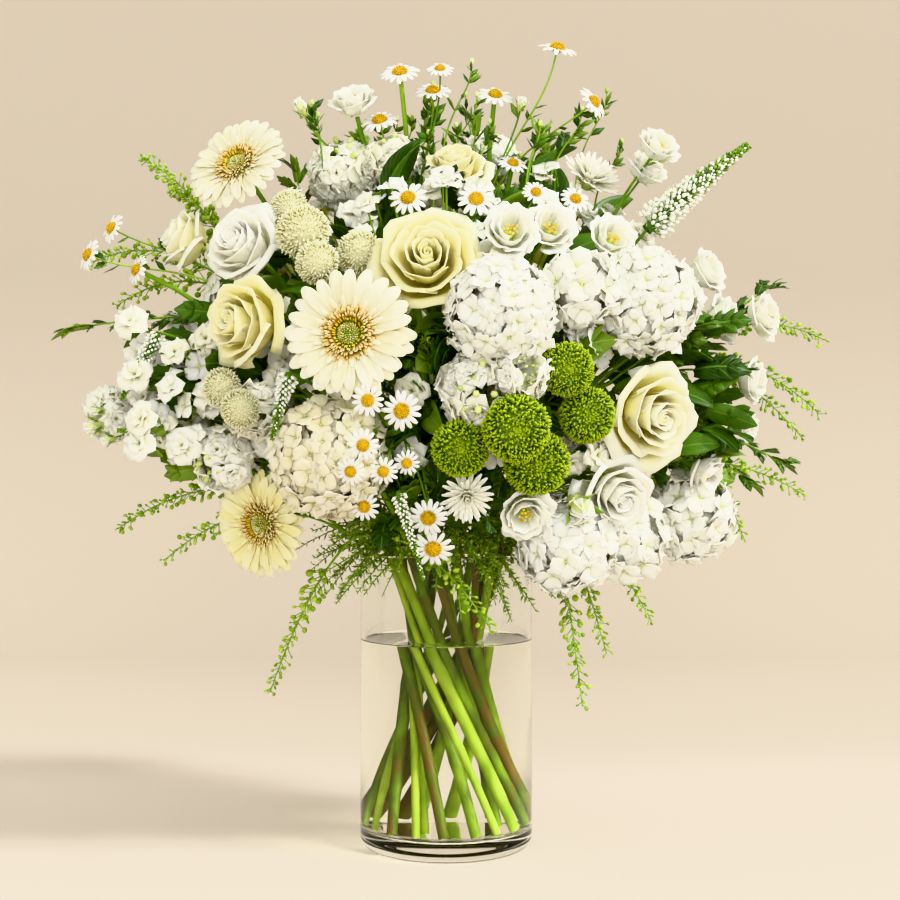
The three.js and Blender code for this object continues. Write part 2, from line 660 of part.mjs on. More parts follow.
const SPRIGS = [
  ['veronica_left', 'spike', [-168, -6, 318], (grow, joint) => veronica(joint, [
    [[-196, -30, 356], [-222, -34, 312], 7],
    [[-184, -32, 284], [-222, -40, 290], 8],
    [[-104, -128, 330], [-110, -118, 286], 5],
  ], grow)],
  ['veronica_right', 'spike', [112, -22, 395], (grow, joint) => veronica(joint, [
    [[134, -66, 424], [199, -60, 478], 12],
  ], grow)],
  ['veronica_low', 'spike', [-14, -66, 226], (grow, joint) => veronica(joint, [
    [[-30, -134, 250], [-14, -122, 196], 5],
  ], grow)],
  ['penny_cress_left', 'pod', [-128, 6, 372], (grow, joint) => pennyCress(joint, [
    [-214, 6, 482], [-192, -4, 458], [-250, 14, 410], [-232, 6, 378],
  ], grow)],
  ['penny_cress_low', 'pod', [-62, -42, 218], (grow, joint) => pennyCress(joint, [
    [-230, 4, 222], [-196, -8, 200], [-120, -30, 112], [30, -96, 160],
  ], grow)],
  ['penny_cress_right', 'pod', [72, -14, 232], (grow, joint) => pennyCress(joint, [
    [90, -66, 108], [108, -44, 140], [140, -30, 160], [248, -10, 246],
  ], grow)],
  ['penny_cress_far_right', 'pod', [150, 22, 330], (grow, joint) => pennyCress(joint, [
    [264, 0, 354], [260, -4, 302], [252, 16, 286], [213, 30, 214],
  ], grow)],
  ['leaves_left', 'leaf', [-120, 22, 352], (grow, joint) => leafySprig(joint, [
    [[-160, 20, 372], [-276, -6, 358], 9, 5],
    [[-150, 16, 390], [-232, 30, 352], 8, 4],
    [[-96, 20, 400], [-108, 10, 486], 12, 3],
  ], grow)],
  ['leaves_top', 'leaf', [4, 4, 420], (grow, joint) => leafySprig(joint, [
    [[14, -6, 440], [22, -16, 510], 11, 3],
    [[40, 4, 446], [96, 4, 502], 12, 3],
    [[-30, 30, 440], [-66, 40, 506], 11, 3],
    [[30, 60, 420], [44, 96, 478], 12, 3],
  ], grow)],
  ['leaves_right', 'leaf', [132, 6, 318], (grow, joint) => leafySprig(joint, [
    [[160, 4, 340], [238, 8, 398], 13, 4],
    [[160, -30, 338], [206, -52, 326], 13, 3],
    [[172, 8, 296], [246, -4, 262], 12, 4],
    [[160, 30, 290], [230, 34, 246], 11, 3],
    [[150, 0, 278], [200, -34, 282], 9, 3],
  ], grow)],
  ['leaves_back', 'leaf', [0, 62, 300], (grow, joint) => leafySprig(joint, [
    [[0, 96, 290], [-10, 168, 252], 14, 4],
    [[-60, 90, 330], [-112, 136, 344], 13, 4],
    [[60, 90, 350], [110, 132, 372], 13, 4],
    [[80, 80, 260], [130, 132, 232], 12, 4],
  ], grow)],
];

// ------------------------------------------------------------- glass and water
// A wall turned round the axis, from the middle of the underside outward.
function vaseGeometry() {
  const inner = VASE.radius - VASE.wall;
  const floorCurve = 4;
  const profile = [new THREE.Vector2(0, 0)];
  const corner = (cx, cy, radius, from, to, steps) => {
    for (let i = 0; i <= steps; i += 1) {
      const angle = from + ((to - from) * i) / steps;
      profile.push(new THREE.Vector2(cx + radius * Math.cos(angle), cy + radius * Math.sin(angle)));
    }
  };
  corner(VASE.radius - VASE.corner, VASE.corner, VASE.corner, -Math.PI / 2, 0, 2);
  profile.push(new THREE.Vector2(VASE.radius, VASE.height - VASE.lip));
  profile.push(new THREE.Vector2(VASE.radius - VASE.lip, VASE.height));
  profile.push(new THREE.Vector2(inner + VASE.lip, VASE.height));
  profile.push(new THREE.Vector2(inner, VASE.height - VASE.lip));
  corner(inner - floorCurve, VASE.floor + floorCurve, floorCurve, 0, -Math.PI / 2, 1);
  profile.push(new THREE.Vector2(0, VASE.floor));
  return new THREE.LatheGeometry(profile, VASE.sides).rotateX(Math.PI / 2);
}

function waterSolid(stemsGrown) {
  const radius = VASE.radius - VASE.wall - GAP;
  const corner = 4;
  const low = VASE.floor + GAP;
  const body = cone(radius, low + corner, radius, WATER_LEVEL, VASE.sides);
  const foot = cone(radius - corner, low, radius, low + corner, VASE.sides);
  return fuse([solidFrom(body), solidFrom(foot)]).subtract(stemsGrown);
}

// -------------------------------------------------------------------- assembly
function meshOf(name, colour, geometry) {
  const [tone, roughness] = COLOURS[colour];
  const material = new THREE.MeshStandardMaterial({ color: tone, roughness, metalness: 0 });
  if (colour === 'glass' || colour === 'water') {
    material.transparent = true;
    material.opacity = 0.4;
  }
  const mesh = new THREE.Mesh(geometry, material);
  mesh.name = name;
  return mesh;
}

function buildBouquet(group) {
  const bunches = makeHeads();
  partAllHeads(bunches.flatMap((bunch) => bunch.heads));
  const outer = spiralRing(STEM.outer, STEM.footRadius, STEM.neckRadius, STEM.twist);
  const inner = spiralRing(STEM.inner, STEM.innerFootRadius, STEM.innerNeckRadius, STEM.innerTwist);
  const twigs = [];
  const carry = (target, arriving) => {
    const high = Math.hypot(target.x, target.y) < (target.z - HUB.z) * STEM.steep;
    twigs.push(twigPath(nearestStem(high ? inner : outer, target), target, arriving));
  };
  const nodes = [];
  bunches.forEach(({ name, colour, heads }) => {
    const [{ seat, facing }] = heads;
    carry(seat.clone().addScaledVector(facing, -2 * GAP), facing);
    const spray = heads.length > 1;
    nodes.push({
      name,
      colour,
      heads,
      firm: spray ? sideStems(heads, 0) : null,
      cutter: spray ? sideStems(heads, GAP) : null,
    });
  });
  SPRIGS.forEach(([name, colour, place, make]) => {
    const joint = vector(...place);
    const arriving = joint.clone().sub(HUB).normalize();
    carry(joint.clone().addScaledVector(arriving, -KNOB * 0.9 - 2 * GAP), arriving);
    nodes.push({ name, colour, heads: [], firm: make(0, joint), cutter: make(GAP, joint) });
  });
  const rings = [outer, inner];
  const stems = onePiece(stemRods(rings, twigs, 0));
  const stemsGrown = stemRods(rings, twigs, GAP);
  group.add(meshOf('vase', 'glass', vaseGeometry()));
  group.add(meshOf('water', 'water', geometryFrom(onePiece(waterSolid(stemsGrown)))));
  group.add(meshOf('stems', 'stem', geometryFrom(stems)));
  nodes.forEach((node, index) => {
    const earlier = nodes.slice(0, index).map((other) => other.cutter).filter(Boolean);
    const others = nodes.filter((other) => other !== node).map((other) => other.cutter).filter(Boolean);
    const pieces = node.heads.map((head) => cutBy(head.solid, [stemsGrown, ...others]));
    if (node.firm) pieces.push(cutBy(node.firm, [stemsGrown, ...earlier]));
    group.add(meshOf(node.name, node.colour, geometryFrom(onePiece(fuse(pieces)))));
    const [first] = node.heads;
    if (first && first.disc) {
      const disc = cutBy(first.disc, others);
      group.add(meshOf(`${node.name}_disc`, 'disc', geometryFrom(onePiece(disc))));
    }
  });
}

const centerpiece = new THREE.Group();
buildBouquet(centerpiece);
export default centerpiece;
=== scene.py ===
# The looks of a floral table centerpiece: a glass cylinder of water with a domed
# bouquet of white, ivory and cream garden flowers. Blender works in metres and the
# lists here are in millimetres; +Z is up and -Y the front.
import math
import random

import bpy
import numpy as np
from mathutils import Matrix, Vector


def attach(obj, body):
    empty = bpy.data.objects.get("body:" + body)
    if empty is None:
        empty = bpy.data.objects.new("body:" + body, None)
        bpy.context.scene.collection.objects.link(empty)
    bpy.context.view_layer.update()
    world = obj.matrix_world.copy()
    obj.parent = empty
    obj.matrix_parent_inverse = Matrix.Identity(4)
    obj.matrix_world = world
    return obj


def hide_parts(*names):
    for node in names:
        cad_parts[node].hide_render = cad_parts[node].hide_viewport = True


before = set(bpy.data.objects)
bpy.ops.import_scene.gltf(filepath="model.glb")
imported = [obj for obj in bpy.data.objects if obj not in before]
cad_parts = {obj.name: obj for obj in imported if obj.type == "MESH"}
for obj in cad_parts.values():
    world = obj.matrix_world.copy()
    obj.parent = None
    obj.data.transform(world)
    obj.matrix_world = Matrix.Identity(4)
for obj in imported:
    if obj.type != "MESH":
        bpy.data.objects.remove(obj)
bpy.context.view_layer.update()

MM = 0.001
GOLDEN = math.pi * (3 - math.sqrt(5))  # the turn between one floret and the next
UP = Vector((0, 0, 1))

# ------------------------------------------------------------------ the object
VASE = {"radius": 60, "height": 206, "wall": 3, "floor": 14, "corner": 10}
WATER_LEVEL = 145
STEM = {"radius": 3.9, "outer": 16, "inner": 3, "foot": 46, "lift": 1.9, "neck": 43, "inner_foot": 28,
        "inner_neck": 20, "twist": -2.24, "inner_twist": -1.8, "neck_height": 214}
CROWN_CENTRE = Vector((0, 0, 335))
CROWN_HALF = (185, 140, 160)
FRONT_LEAN = 0.45  # how far the front heads turn to the viewer
HUB = Vector((0, 0, 240))  # where the stems part above the rim
KNOB = 3  # radius of the joint of a spray
HOLD = 0.55  # how far a side stem reaches into its head, as a share of its root
SEEDS = {"heads": 100, "veronica": 300, "penny_cress": 320, "sprigs": 340, "stems": 7, "filling_leaves": 11,
         "blossoms": 23, "feathers": 31}
TINTS = 0.8  # how far the petals of a head lean to their second colour
FLORET = {"hydrangea": 11.5, "fine_hydrangea": 9.2, "stock": 12.5}  # lengths of their petals
FILLING = {"leaves": 760, "dome_leaves": 300, "front_leaves": 580, "blossoms": 300, "left_blossoms": 60,
           "rim_feathers": 140, "dome_feathers": 40, "top_twigs": 26}
SUN_STRENGTH, SUN_SPREAD = 3.5, 11
FRONT_WATTS, WORLD_STRENGTH = 40, 1.24
LENS, EYE = 66.3, (0.0026, -1.159, 0.277)  # as in the photograph: level, from in front


# ------------------------------------------------------------- making of shapes
def place_new(name, data):
    """A new object at the origin, which carries its place in its own data."""
    thing = bpy.data.objects.new(name, data)
    bpy.context.collection.objects.link(thing)
    return thing


def pick(thing=None):
    """Leaves only this object selected, or none."""
    bpy.ops.object.select_all(action="DESELECT")
    if thing:
        thing.select_set(True)
        bpy.context.view_layer.objects.active = thing


def read(rows, key, width=1, kind=float):
    values = np.empty(len(rows) * width, dtype=kind)
    rows.foreach_get(key, values)
    return values.reshape(-1, width) if width > 1 else values


class Shape:
    """A small form that is copied many times: its points, its faces and its map."""

    def __init__(self, model):
        mesh = model.data
        self.points = read(mesh.vertices, "co", 3)
        self.corners = read(mesh.loops, "vertex_index", kind=np.int32)
        self.starts = read(mesh.polygons, "loop_start", kind=np.int32)
        layer = mesh.uv_layers.active
        self.map = read(layer.data, "uv", 2) if layer else np.zeros((len(mesh.loops), 2))
        bpy.data.objects.remove(model)
        bpy.data.meshes.remove(mesh)


def sheet(across, along, place, thick):
    """A thin closed blade: a grid whose points go where place(s, t) says, with s
    from -1 to 1 across it and t from 0 at its root to 1 at its tip."""
    pick()
    bpy.ops.mesh.primitive_grid_add(x_subdivisions=across, y_subdivisions=along, size=2)
    blade = bpy.context.object
    for point in blade.data.vertices:
        point.co = place(point.co.x, (point.co.y + 1) / 2)
    wall = blade.modifiers.new("thickness", "SOLIDIFY")
    wall.thickness = thick
    wall.offset = 0
    bpy.ops.object.modifier_apply(modifier=wall.name)
    return Shape(blade)


def small_ball():
    """A ball of a few faces that stands on its lowest point."""
    pick()
    bpy.ops.mesh.primitive_uv_sphere_add(segments=6, ring_count=4, radius=1)
    ball = bpy.context.object
    for point in ball.data.vertices:
        point.co.z += 1
    return Shape(ball)


def flow(values, t):
    """A smooth value along a petal, from knots spaced evenly from root to tip."""
    place = min(max(t, 0), 1) * (len(values) - 1)
    low = min(int(place), len(values) - 2)
    share = place - low
    share = share * share * (3 - 2 * share)
    return values[low] * (1 - share) + values[low + 1] * share


def strap(half, widths, rise, cup=0.0, groove=0.0, wave=0.0, waves=3, phase=0.0, blunt=0.0):
    """A petal that grows along +Y with a length of 1: half is its half width, and
    widths and rise give its width and height at evenly spaced knots."""
    def place(s, t):
        wide = half * flow(widths, t)
        ripple = wave * s * s * t * math.sin(waves * math.pi * t + phase + s * 1.4)
        lines = groove * math.cos(s * 2.2 * math.pi) * math.sin(math.pi * min(t * 1.1, 1))
        height = flow(rise, t) + cup * s * s * wide + ripple + lines
        return Vector((wide * s, t - blunt * s * s * t ** 6, height))
    return place


def bowl_petal(span, reach, top, root, narrow, lip, roll, drop, swirl, wave, waves, phase, point=0.0):
    """A petal that is part of a bowl round +Z: it rises from the root out to reach
    and up to top, and its lip may roll outward."""
    def place(s, t):
        angle = s * span * flow((narrow * 0.6, narrow + 0.2, 0.95, 1, 0.9), t)
        edge = max(0.0, (t - 0.7) / 0.3)
        away = reach * math.sin(min(t * 1.15, 1) * math.pi / 2) ** 0.75
        away *= 1 + swirl * s
        away += lip * edge * edge * (1 - 0.35 * s * s)
        corner = drop * abs(s) ** 3 * t * t
        height = root + (top - root) * t ** 1.35 - corner - roll * edge ** 3
        height += point * max(0.0, 1 - abs(s) * 3) * edge
        ripple = wave * t * t * math.sin(s * waves * math.pi + phase)
        away += ripple
        height += ripple * 0.6
        return Vector((away * math.sin(angle), away * math.cos(angle), height))
    return place


def dress(piece, finishes, slot, stands_in=True):
    """Gives a piece its materials, and hides the node that it stands in for."""
    for finish in finishes:
        piece.data.materials.append(FINISHES[finish])
    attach(piece, "root")
    if stands_in:
        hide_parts(slot)


class Bunch:
    """Everything in one piece: copies of shapes, and thin stems."""

    def __init__(self):
        self.points, self.corners, self.starts, self.maps = [], [], [], []
        self.slots, self.tints, self.strands, self.finishes = [], [], [], []
        self.count = self.loops = 0

    def add(self, shape, spot, finish, tint=0.5):
        if finish not in self.finishes:
            self.finishes.append(finish)
        slot = self.finishes.index(finish)
        self.points.append(shape.points @ np.array(spot.to_3x3()).T + np.array(spot.translation))
        self.corners.append(shape.corners + self.count)
        self.starts.append(shape.starts + self.loops)
        self.maps.append(shape.map)
        self.slots.append(np.full(len(shape.starts), slot, dtype=np.int32))
        self.tints.append(np.full(len(shape.points), tint))
        self.count += len(shape.points)
        self.loops += len(shape.corners)

    def seed(self, spot, finish, tint=0.5):
        self.add(SHAPES["seed"][0], spot, finish, tint)

    def strand(self, points, radii, finish, tint=0.5):
        self.strands.append((points, radii, finish, tint))

    def spin_strands(self, round_steps):
        """Turns the stems into meshes, those of one finish and tint at a time."""
        kinds = {}
        for points, radii, finish, tint in self.strands:
            kinds.setdefault((finish, round(tint, 1)), []).append((points, radii))
        for (finish, tint), paths in kinds.items():
            line = bpy.data.curves.new("strands", "CURVE")
            line.dimensions = "3D"
            line.bevel_depth = 1
            line.bevel_resolution = round_steps
            line.use_fill_caps = True
            for points, radii in paths:
                spline = line.splines.new("POLY")
                spline.points.add(len(points) - 1)
                for knot, place, radius in zip(spline.points, points, radii):
                    knot.co = (*place, 1)
                    knot.radius = radius
            pick(place_new("strands", line))
            bpy.ops.object.convert(target="MESH")
            self.add(Shape(bpy.context.object), Matrix.Identity(4), finish, tint)

    def make(self, name, slot, stands_in=True, round_steps=1):
        """Turns the bunch into one piece, which may stand in for the slot's node."""
        self.spin_strands(round_steps)
        mesh = bpy.data.meshes.new(name)
        starts = np.concatenate(self.starts)
        mesh.vertices.add(self.count)
        mesh.vertices.foreach_set("co", np.concatenate(self.points).ravel())
        mesh.loops.add(self.loops)
        mesh.loops.foreach_set("vertex_index", np.concatenate(self.corners))
        mesh.polygons.add(len(starts))
        mesh.polygons.foreach_set("loop_start", starts)
        mesh.polygons.foreach_set("material_index", np.concatenate(self.slots))
        mesh.polygons.foreach_set("use_smooth", np.ones(len(starts), dtype=bool))
        mesh.uv_layers.new(name="petal").data.foreach_set("uv", np.concatenate(self.maps).ravel())
        shade = mesh.attributes.new("tint", "FLOAT", "POINT")
        shade.data.foreach_set("value", np.concatenate(self.tints))
        mesh.update(calc_edges=True)
        mesh.validate()
        dress(place_new(name, mesh), self.finishes, slot, stands_in)


# ------------------------------------------------------------------- materials
# Grain widths in millimetres. Real skin cells are under 0.1 mm, too fine to show, so
# the grains are drawn over ten times as coarse.
SKIN_GRAIN, STEM_GRAIN, STEM_PATCH = 1.111, 1.429, 18.18


def linear(code):
    """An sRGB hex colour as the linear values that Blender works in."""
    parts = [int(code[i:i + 2], 16) / 255 for i in (1, 3, 5)]
    return (*[c / 12.92 if c <= 0.04045 else ((c + 0.055) / 1.055) ** 2.4 for c in parts], 1)


def node(tree, kind, links=None, stops=None, **settings):
    """Adds a shader node with its settings. links gives its inputs: each a value, a
    socket, or a node whose first socket in use is read. stops colour a ramp."""
    made = tree.nodes.new("ShaderNode" + kind)
    for key, value in settings.items():
        setattr(made, key, value)
    for name, source in (links or {}).items():
        if isinstance(source, bpy.types.Node):
            source = next(socket for socket in source.outputs if socket.enabled)
        if isinstance(source, bpy.types.NodeSocket):
            tree.links.new(source, made.inputs[name])
        else:
            made.inputs[name].default_value = source
    if stops:
        band = made.color_ramp.elements
        while len(band) < len(stops):
            band.new(0.5)
        for element, (place, code) in zip(band, stops):
            element.position = place
            element.color = linear(code)
    return made


def blank(name):
    material = bpy.data.materials.new(name)
    material.use_nodes = True
    material.node_tree.nodes.clear()
    return material, material.node_tree


def petal(name, stops, shade, rough=0.55, veins=26, relief=0.5, glow=0.12):
    """A fresh petal: stops colour it from its root to its tip, shade is the colour
    that some petals lean to, and veins run along it, that many across. Real veins
    lie about 0.4 mm apart, too fine to show, so these are 0.6 to 1.5 mm apart."""
    material, tree = blank(name)
    spot = node(tree, "UVMap", uv_map="petal")
    along = node(tree, "SeparateXYZ", {"Vector": spot}).outputs["Y"]
    colour = node(tree, "ValToRGB", {"Fac": along}, stops)
    tint = node(tree, "Attribute", attribute_name="tint").outputs["Fac"]
    share = node(tree, "Math", {0: tint, 1: 0.6}, operation="MULTIPLY")
    lean = node(tree, "Mix", {"Factor": share, "A": colour, "B": linear(shade)}, data_type="RGBA",
                blend_type="MULTIPLY")
    stretched = node(tree, "Mapping", {"Vector": spot, "Scale": (veins, 2.5, 1)})
    streak = node(tree, "TexNoise", {"Vector": stretched, "Scale": 1.0, "Detail": 3.0, "Roughness": 0.6})
    fade = node(tree, "MapRange", {"Value": streak, "From Min": 0.3, "From Max": 0.75, "To Min": 0.95,
                                   "To Max": 1.0})
    toned = node(tree, "HueSaturation", {"Color": lean, "Value": fade})
    height = node(tree, "Bump", {"Height": streak, "Strength": relief, "Distance": 0.08 * MM})
    body = node(tree, "BsdfPrincipled", {
        "Base Color": toned, "Roughness": rough, "Normal": height, "Specular IOR Level": 0.3,
        "Sheen Weight": 0.2, "Sheen Roughness": 0.5, "Subsurface Weight": 0.6,
        "Subsurface Radius": (1.0, 0.9, 0.75), "Subsurface Scale": 1.2 * MM})
    through = node(tree, "BsdfTranslucent", {"Color": toned, "Normal": height})
    both = node(tree, "MixShader", {"Fac": glow, 1: body, 2: through})
    node(tree, "OutputMaterial", {"Surface": both})
    return material


def greenery(name, dark, light, rib=None, rough=0.45, glow=0.15, patch=16.67, coat=0.0):
    """A living surface: mottled between two greens in patches of so many millimetres,
    with a paler midrib and side veins where rib is given, or else a fine grain."""
    material, tree = blank(name)
    place = node(tree, "TexCoord").outputs["Object"]
    mottle = node(tree, "TexNoise", {"Vector": place, "Scale": 1 / (patch * MM), "Detail": 3.0})
    tint = node(tree, "Attribute", attribute_name="tint").outputs["Fac"]
    share = node(tree, "Math", {0: mottle, 1: tint}, operation="ADD")
    ranged = node(tree, "MapRange", {"Value": share, "From Min": 0.55, "From Max": 1.35})
    colour = node(tree, "ValToRGB", {"Fac": ranged}, [(0.0, dark), (1.0, light)])
    if rib:
        split = node(tree, "SeparateXYZ", {"Vector": node(tree, "UVMap", uv_map="petal")})
        off = node(tree, "Math", {0: split, 1: 0.5}, operation="SUBTRACT")
        away = node(tree, "Math", {0: off}, operation="ABSOLUTE")
        rise = node(tree, "Math", {0: away, 1: -1.1, 2: split.outputs["Y"]}, operation="MULTIPLY_ADD")
        # A side vein at every seventh of a leaf's length, which is 4 to 6 mm.
        beat = node(tree, "Math", {0: rise, 1: 44.0}, operation="MULTIPLY")
        wave = node(tree, "Math", {0: beat}, operation="SINE")
        side = node(tree, "MapRange", {"Value": wave, "From Min": 0.8, "From Max": 1.0, "To Max": 0.35})
        main = node(tree, "MapRange", {"Value": away, "From Min": 0.015, "From Max": 0.05, "To Min": 0.8,
                                       "To Max": 0.0})
        height = node(tree, "Math", {0: side, 1: main}, operation="MAXIMUM")
        colour = node(tree, "Mix", {"Factor": height, "A": colour, "B": linear(rib)}, data_type="RGBA")
    else:
        height = node(tree, "TexNoise", {"Vector": place, "Scale": 1 / (SKIN_GRAIN * MM), "Detail": 2.0})
    bump = node(tree, "Bump", {"Height": height, "Strength": 0.35, "Distance": 0.2 * MM})
    body = node(tree, "BsdfPrincipled", {"Base Color": colour, "Roughness": rough, "Normal": bump,
                                         "Specular IOR Level": 0.4, "Coat Weight": coat,
                                         "Coat Roughness": 0.3})
    through = node(tree, "BsdfTranslucent", {"Color": colour})
    both = node(tree, "MixShader", {"Fac": glow, 1: body, 2: through})
    node(tree, "OutputMaterial", {"Surface": both})
    return material


def clear_body(name, tone, ior):
    """Glass or water: it bends the view, and lets the lamps' light straight in."""
    material, tree = blank(name)
    shadow = node(tree, "LightPath").outputs["Is Shadow Ray"]
    glass = node(tree, "BsdfPrincipled", {"Base Color": linear(tone), "Roughness": 0.0, "IOR": ior,
                                          "Specular Tint": (0.3, 0.3, 0.3, 1), "Transmission Weight": 1.0})
    open_way = node(tree, "BsdfTransparent", {"Color": linear(tone)})
    both = node(tree, "MixShader", {"Fac": shadow, 1: glass, 2: open_way})
    node(tree, "OutputMaterial", {"Surface": both})
    return material


def stem_skin(name):
    """Cut stems: green skin with olive and brown stretches, and a fine grain."""
    material, tree = blank(name)
    place = node(tree, "TexCoord").outputs["Object"]
    long = node(tree, "Mapping", {"Vector": place, "Scale": (1, 1, 0.55)})
    wide = node(tree, "TexNoise", {"Vector": long, "Scale": 1 / (STEM_PATCH * MM), "Detail": 3.0})
    tint = node(tree, "Attribute", attribute_name="tint").outputs["Fac"]
    share = node(tree, "Math", {0: wide, 1: 1.6, 2: tint}, operation="MULTIPLY_ADD")
    ranged = node(tree, "MapRange", {"Value": share, "From Min": 0.62, "From Max": 1.95})
    colour = node(tree, "ValToRGB", {"Fac": ranged}, [(0.0, "#5c3a18"), (0.2, "#5a4c18"), (0.34, "#44580f"),
                                                      (0.6, "#6c8a1a"), (1.0, "#a2b83c")])
    grain = node(tree, "TexNoise", {"Vector": long, "Scale": 1 / (STEM_GRAIN * MM), "Detail": 2.0})
    bump = node(tree, "Bump", {"Height": grain, "Strength": 0.3, "Distance": 0.2 * MM})
    body = node(tree, "BsdfPrincipled", {"Base Color": colour, "Roughness": 0.5, "Normal": bump,
                                         "Specular IOR Level": 0.15})
    node(tree, "OutputMaterial", {"Surface": body})
    return material


# Each colour list runs from the root of the petal to its tip.
FINISHES = {
    # Ivory petal of a gerbera daisy: satin, with fine lines from root to tip.
    "gerbera": petal("gerbera_petal_ivory", [(0.0, "#efe0a0"), (0.35, "#fbf4d0"), (1.0, "#fffdec")],
                     "#fbf1cf", veins=14, relief=0.8),
    # The same petal in a warmer butter yellow.
    "butter": petal("gerbera_petal_butter", [(0.0, "#f2de84"), (0.35, "#fbf0ac"), (1.0, "#fffad0")],
                    "#fcf2bc", veins=14, relief=0.8),
    # Tongues round a gerbera's eye: golden brown at the foot and cream at the tip.
    "tongue": petal("gerbera_tongue_gold", [(0.0, "#6a4a0c"), (0.5, "#a87c1e"), (0.78, "#e2c878"),
                                            (1.0, "#fff8d8")], "#eedc9e", veins=5),
    # Closed florets in a gerbera's eye: matt olive khaki.
    "eye": greenery("gerbera_eye_olive", "#989446", "#cfc884", rough=0.8, glow=0.0, patch=3.333),
    # Rose petal: thick, velvety cream that deepens to yellow at its root.
    "rose": petal("rose_petal_cream", [(0.0, "#f4e070"), (0.4, "#fbf2a0"), (0.75, "#fdf8c8"),
                                       (1.0, "#fffde4")], "#faf2b4", veins=20, relief=0.25, glow=0.2),
    # Rose petal of a whiter sort.
    "pale_rose": petal("rose_petal_pale", [(0.0, "#f4e070"), (0.4, "#fcf4a8"), (0.8, "#fffce0"),
                                           (1.0, "#fffff2")], "#fcf7d4", veins=20, relief=0.25, glow=0.2),
    # Lisianthus petal: thin white silk with a green root.
    "lisianthus": petal("lisianthus_petal_white", [(0.0, "#b6cc5c"), (0.3, "#eef2c6"), (0.5, "#fffff2"),
                                                   (1.0, "#fffffa")], "#f8f4e4", veins=18, relief=0.4,
                        glow=0.15),
    # Hydrangea floret: matt white, greenish at its heart.
    "hydrangea": petal("hydrangea_floret_white", [(0.0, "#e0e6ba"), (0.3, "#fffff2"), (1.0, "#fffffa")],
                       "#faf6e8", veins=8, relief=0.4),
    # Hydrangea floret of an off-white sort: a cream tone, darkened further as painted shade for the heads on
    # the left and at the back.
    "cream_hydrangea": petal("hydrangea_floret_cream_shaded", [(0.0, "#c8c88c"), (0.3, "#ebe4c8"),
                                                        (1.0, "#f6f0dc")], "#ece2c2", veins=8, relief=0.4),
    # Stock floret: white with a green heart, soft and crumpled.
    "stock": petal("stock_floret_white", [(0.0, "#c2d67c"), (0.2, "#f4f7da"), (0.4, "#fffeec"),
                                          (1.0, "#fffff6")], "#f6f0d8", veins=10, relief=0.6),
    # Pompon chrysanthemum florets: matt cream with a green tinge.
    "pompon": petal("pompon_floret_cream", [(0.0, "#a2a664"), (0.4, "#dcdab2"), (1.0, "#f6f3d6")],
                    "#f2f0da", veins=4),
    # Button chrysanthemum florets: bright yellow-green tips over a green root, darkened further as painted
    # shade in the gaps between florets.
    "button": petal("button_floret_green_root_shade", [(0.0, "#1e3a02"), (0.45, "#4c7604"), (0.8, "#93b010"),
                                            (1.0, "#bccc2c")], "#a8c040", rough=0.6, veins=3),
    # Chrysanthemum ray: narrow, clean white.
    "mum": petal("chrysanthemum_ray_white", [(0.0, "#ecefb8"), (0.3, "#fffdec"), (1.0, "#fffffa")],
                 "#f6f2e0", veins=6),
    # Chamomile ray: chalk white.
    "ray": petal("chamomile_ray_white", [(0.0, "#eceacc"), (0.25, "#fdfdfa"), (1.0, "#ffffff")], "#f9f8f2",
                 veins=6, relief=0.4),
    # Chamomile eye: packed yellow florets, matt as pollen.
    "yolk": greenery("chamomile_eye_yellow", "#b68804", "#dcba2c", rough=0.8, glow=0.05, patch=3.333),
    # Stamens: soft yellow.
    "stamen": greenery("stamen_yellow", "#c8a31a", "#ead850", rough=0.8, glow=0.05, patch=3.333),
    # Veronica buds: white with a trace of green.
    "veronica": petal("veronica_bud_white", [(0.0, "#b9cc94"), (0.3, "#f4f6e8"), (1.0, "#ffffff")],
                      "#f2f4e6", veins=3),
    # Greens of spikes, buds, pods and twigs: satin and soft.
    "spike": greenery("veronica_spike_green", "#2c4c0c", "#5a881a", rough=0.6, glow=0.05),
    "tip": greenery("veronica_tip_green", "#4c7420", "#86a844", rough=0.6, glow=0.1),
    "bud": greenery("bud_green", "#9cb84c", "#dfe89e", rough=0.5, glow=0.15, patch=8.333),
    "pod": greenery("penny_cress_pod_green", "#6c9820", "#b4d050", rough=0.5, glow=0.2, patch=8.333),
    "twig": greenery("twig_green", "#4c7818", "#86ac34", rough=0.5, glow=0.0, patch=12.5),
    # Leaves: waxy dark green and a lighter, younger green, with pale ribs.
    "leaf": greenery("leaf_dark_green", "#1c3a0e", "#48701e", rib="#6e9040", rough=0.48, coat=0.12),
    "young_leaf": greenery("leaf_light_green", "#42661a", "#7c9c3c", rib="#9ab25c", rough=0.5, coat=0.08,
                           glow=0.2),
    # Feathery leaflets: thin, fresh green that lets light through.
    "feather": greenery("feather_green", "#557c22", "#a0ba54", rough=0.55, glow=0.2, patch=10),
    # Skin of the cut stems: wet green with brown stretches.
    "stem": stem_skin("cut_stem_skin"),
    # Where a stem was cut: pale, damp pith.
    "pith": greenery("stem_pith_pale", "#c9c98a", "#e2e2b4", rough=0.6, glow=0.1, patch=5),
    # Soda-lime glass, pressed and polished: colourless and mirror smooth.
    "glass": clear_body("soda_lime_glass", "#fbfcfa", 1.5),
    # Still water, perfectly clear.
    "water": clear_body("clear_water", "#fffefa", 1.333),
}


# --------------------------------------------------------------- petals, florets
def versions(count, across, along, thick, shape_of):
    """A few unlike versions of one petal, so that no flower repeats itself."""
    return [sheet(across, along, shape_of(k), thick) for k in range(count)]


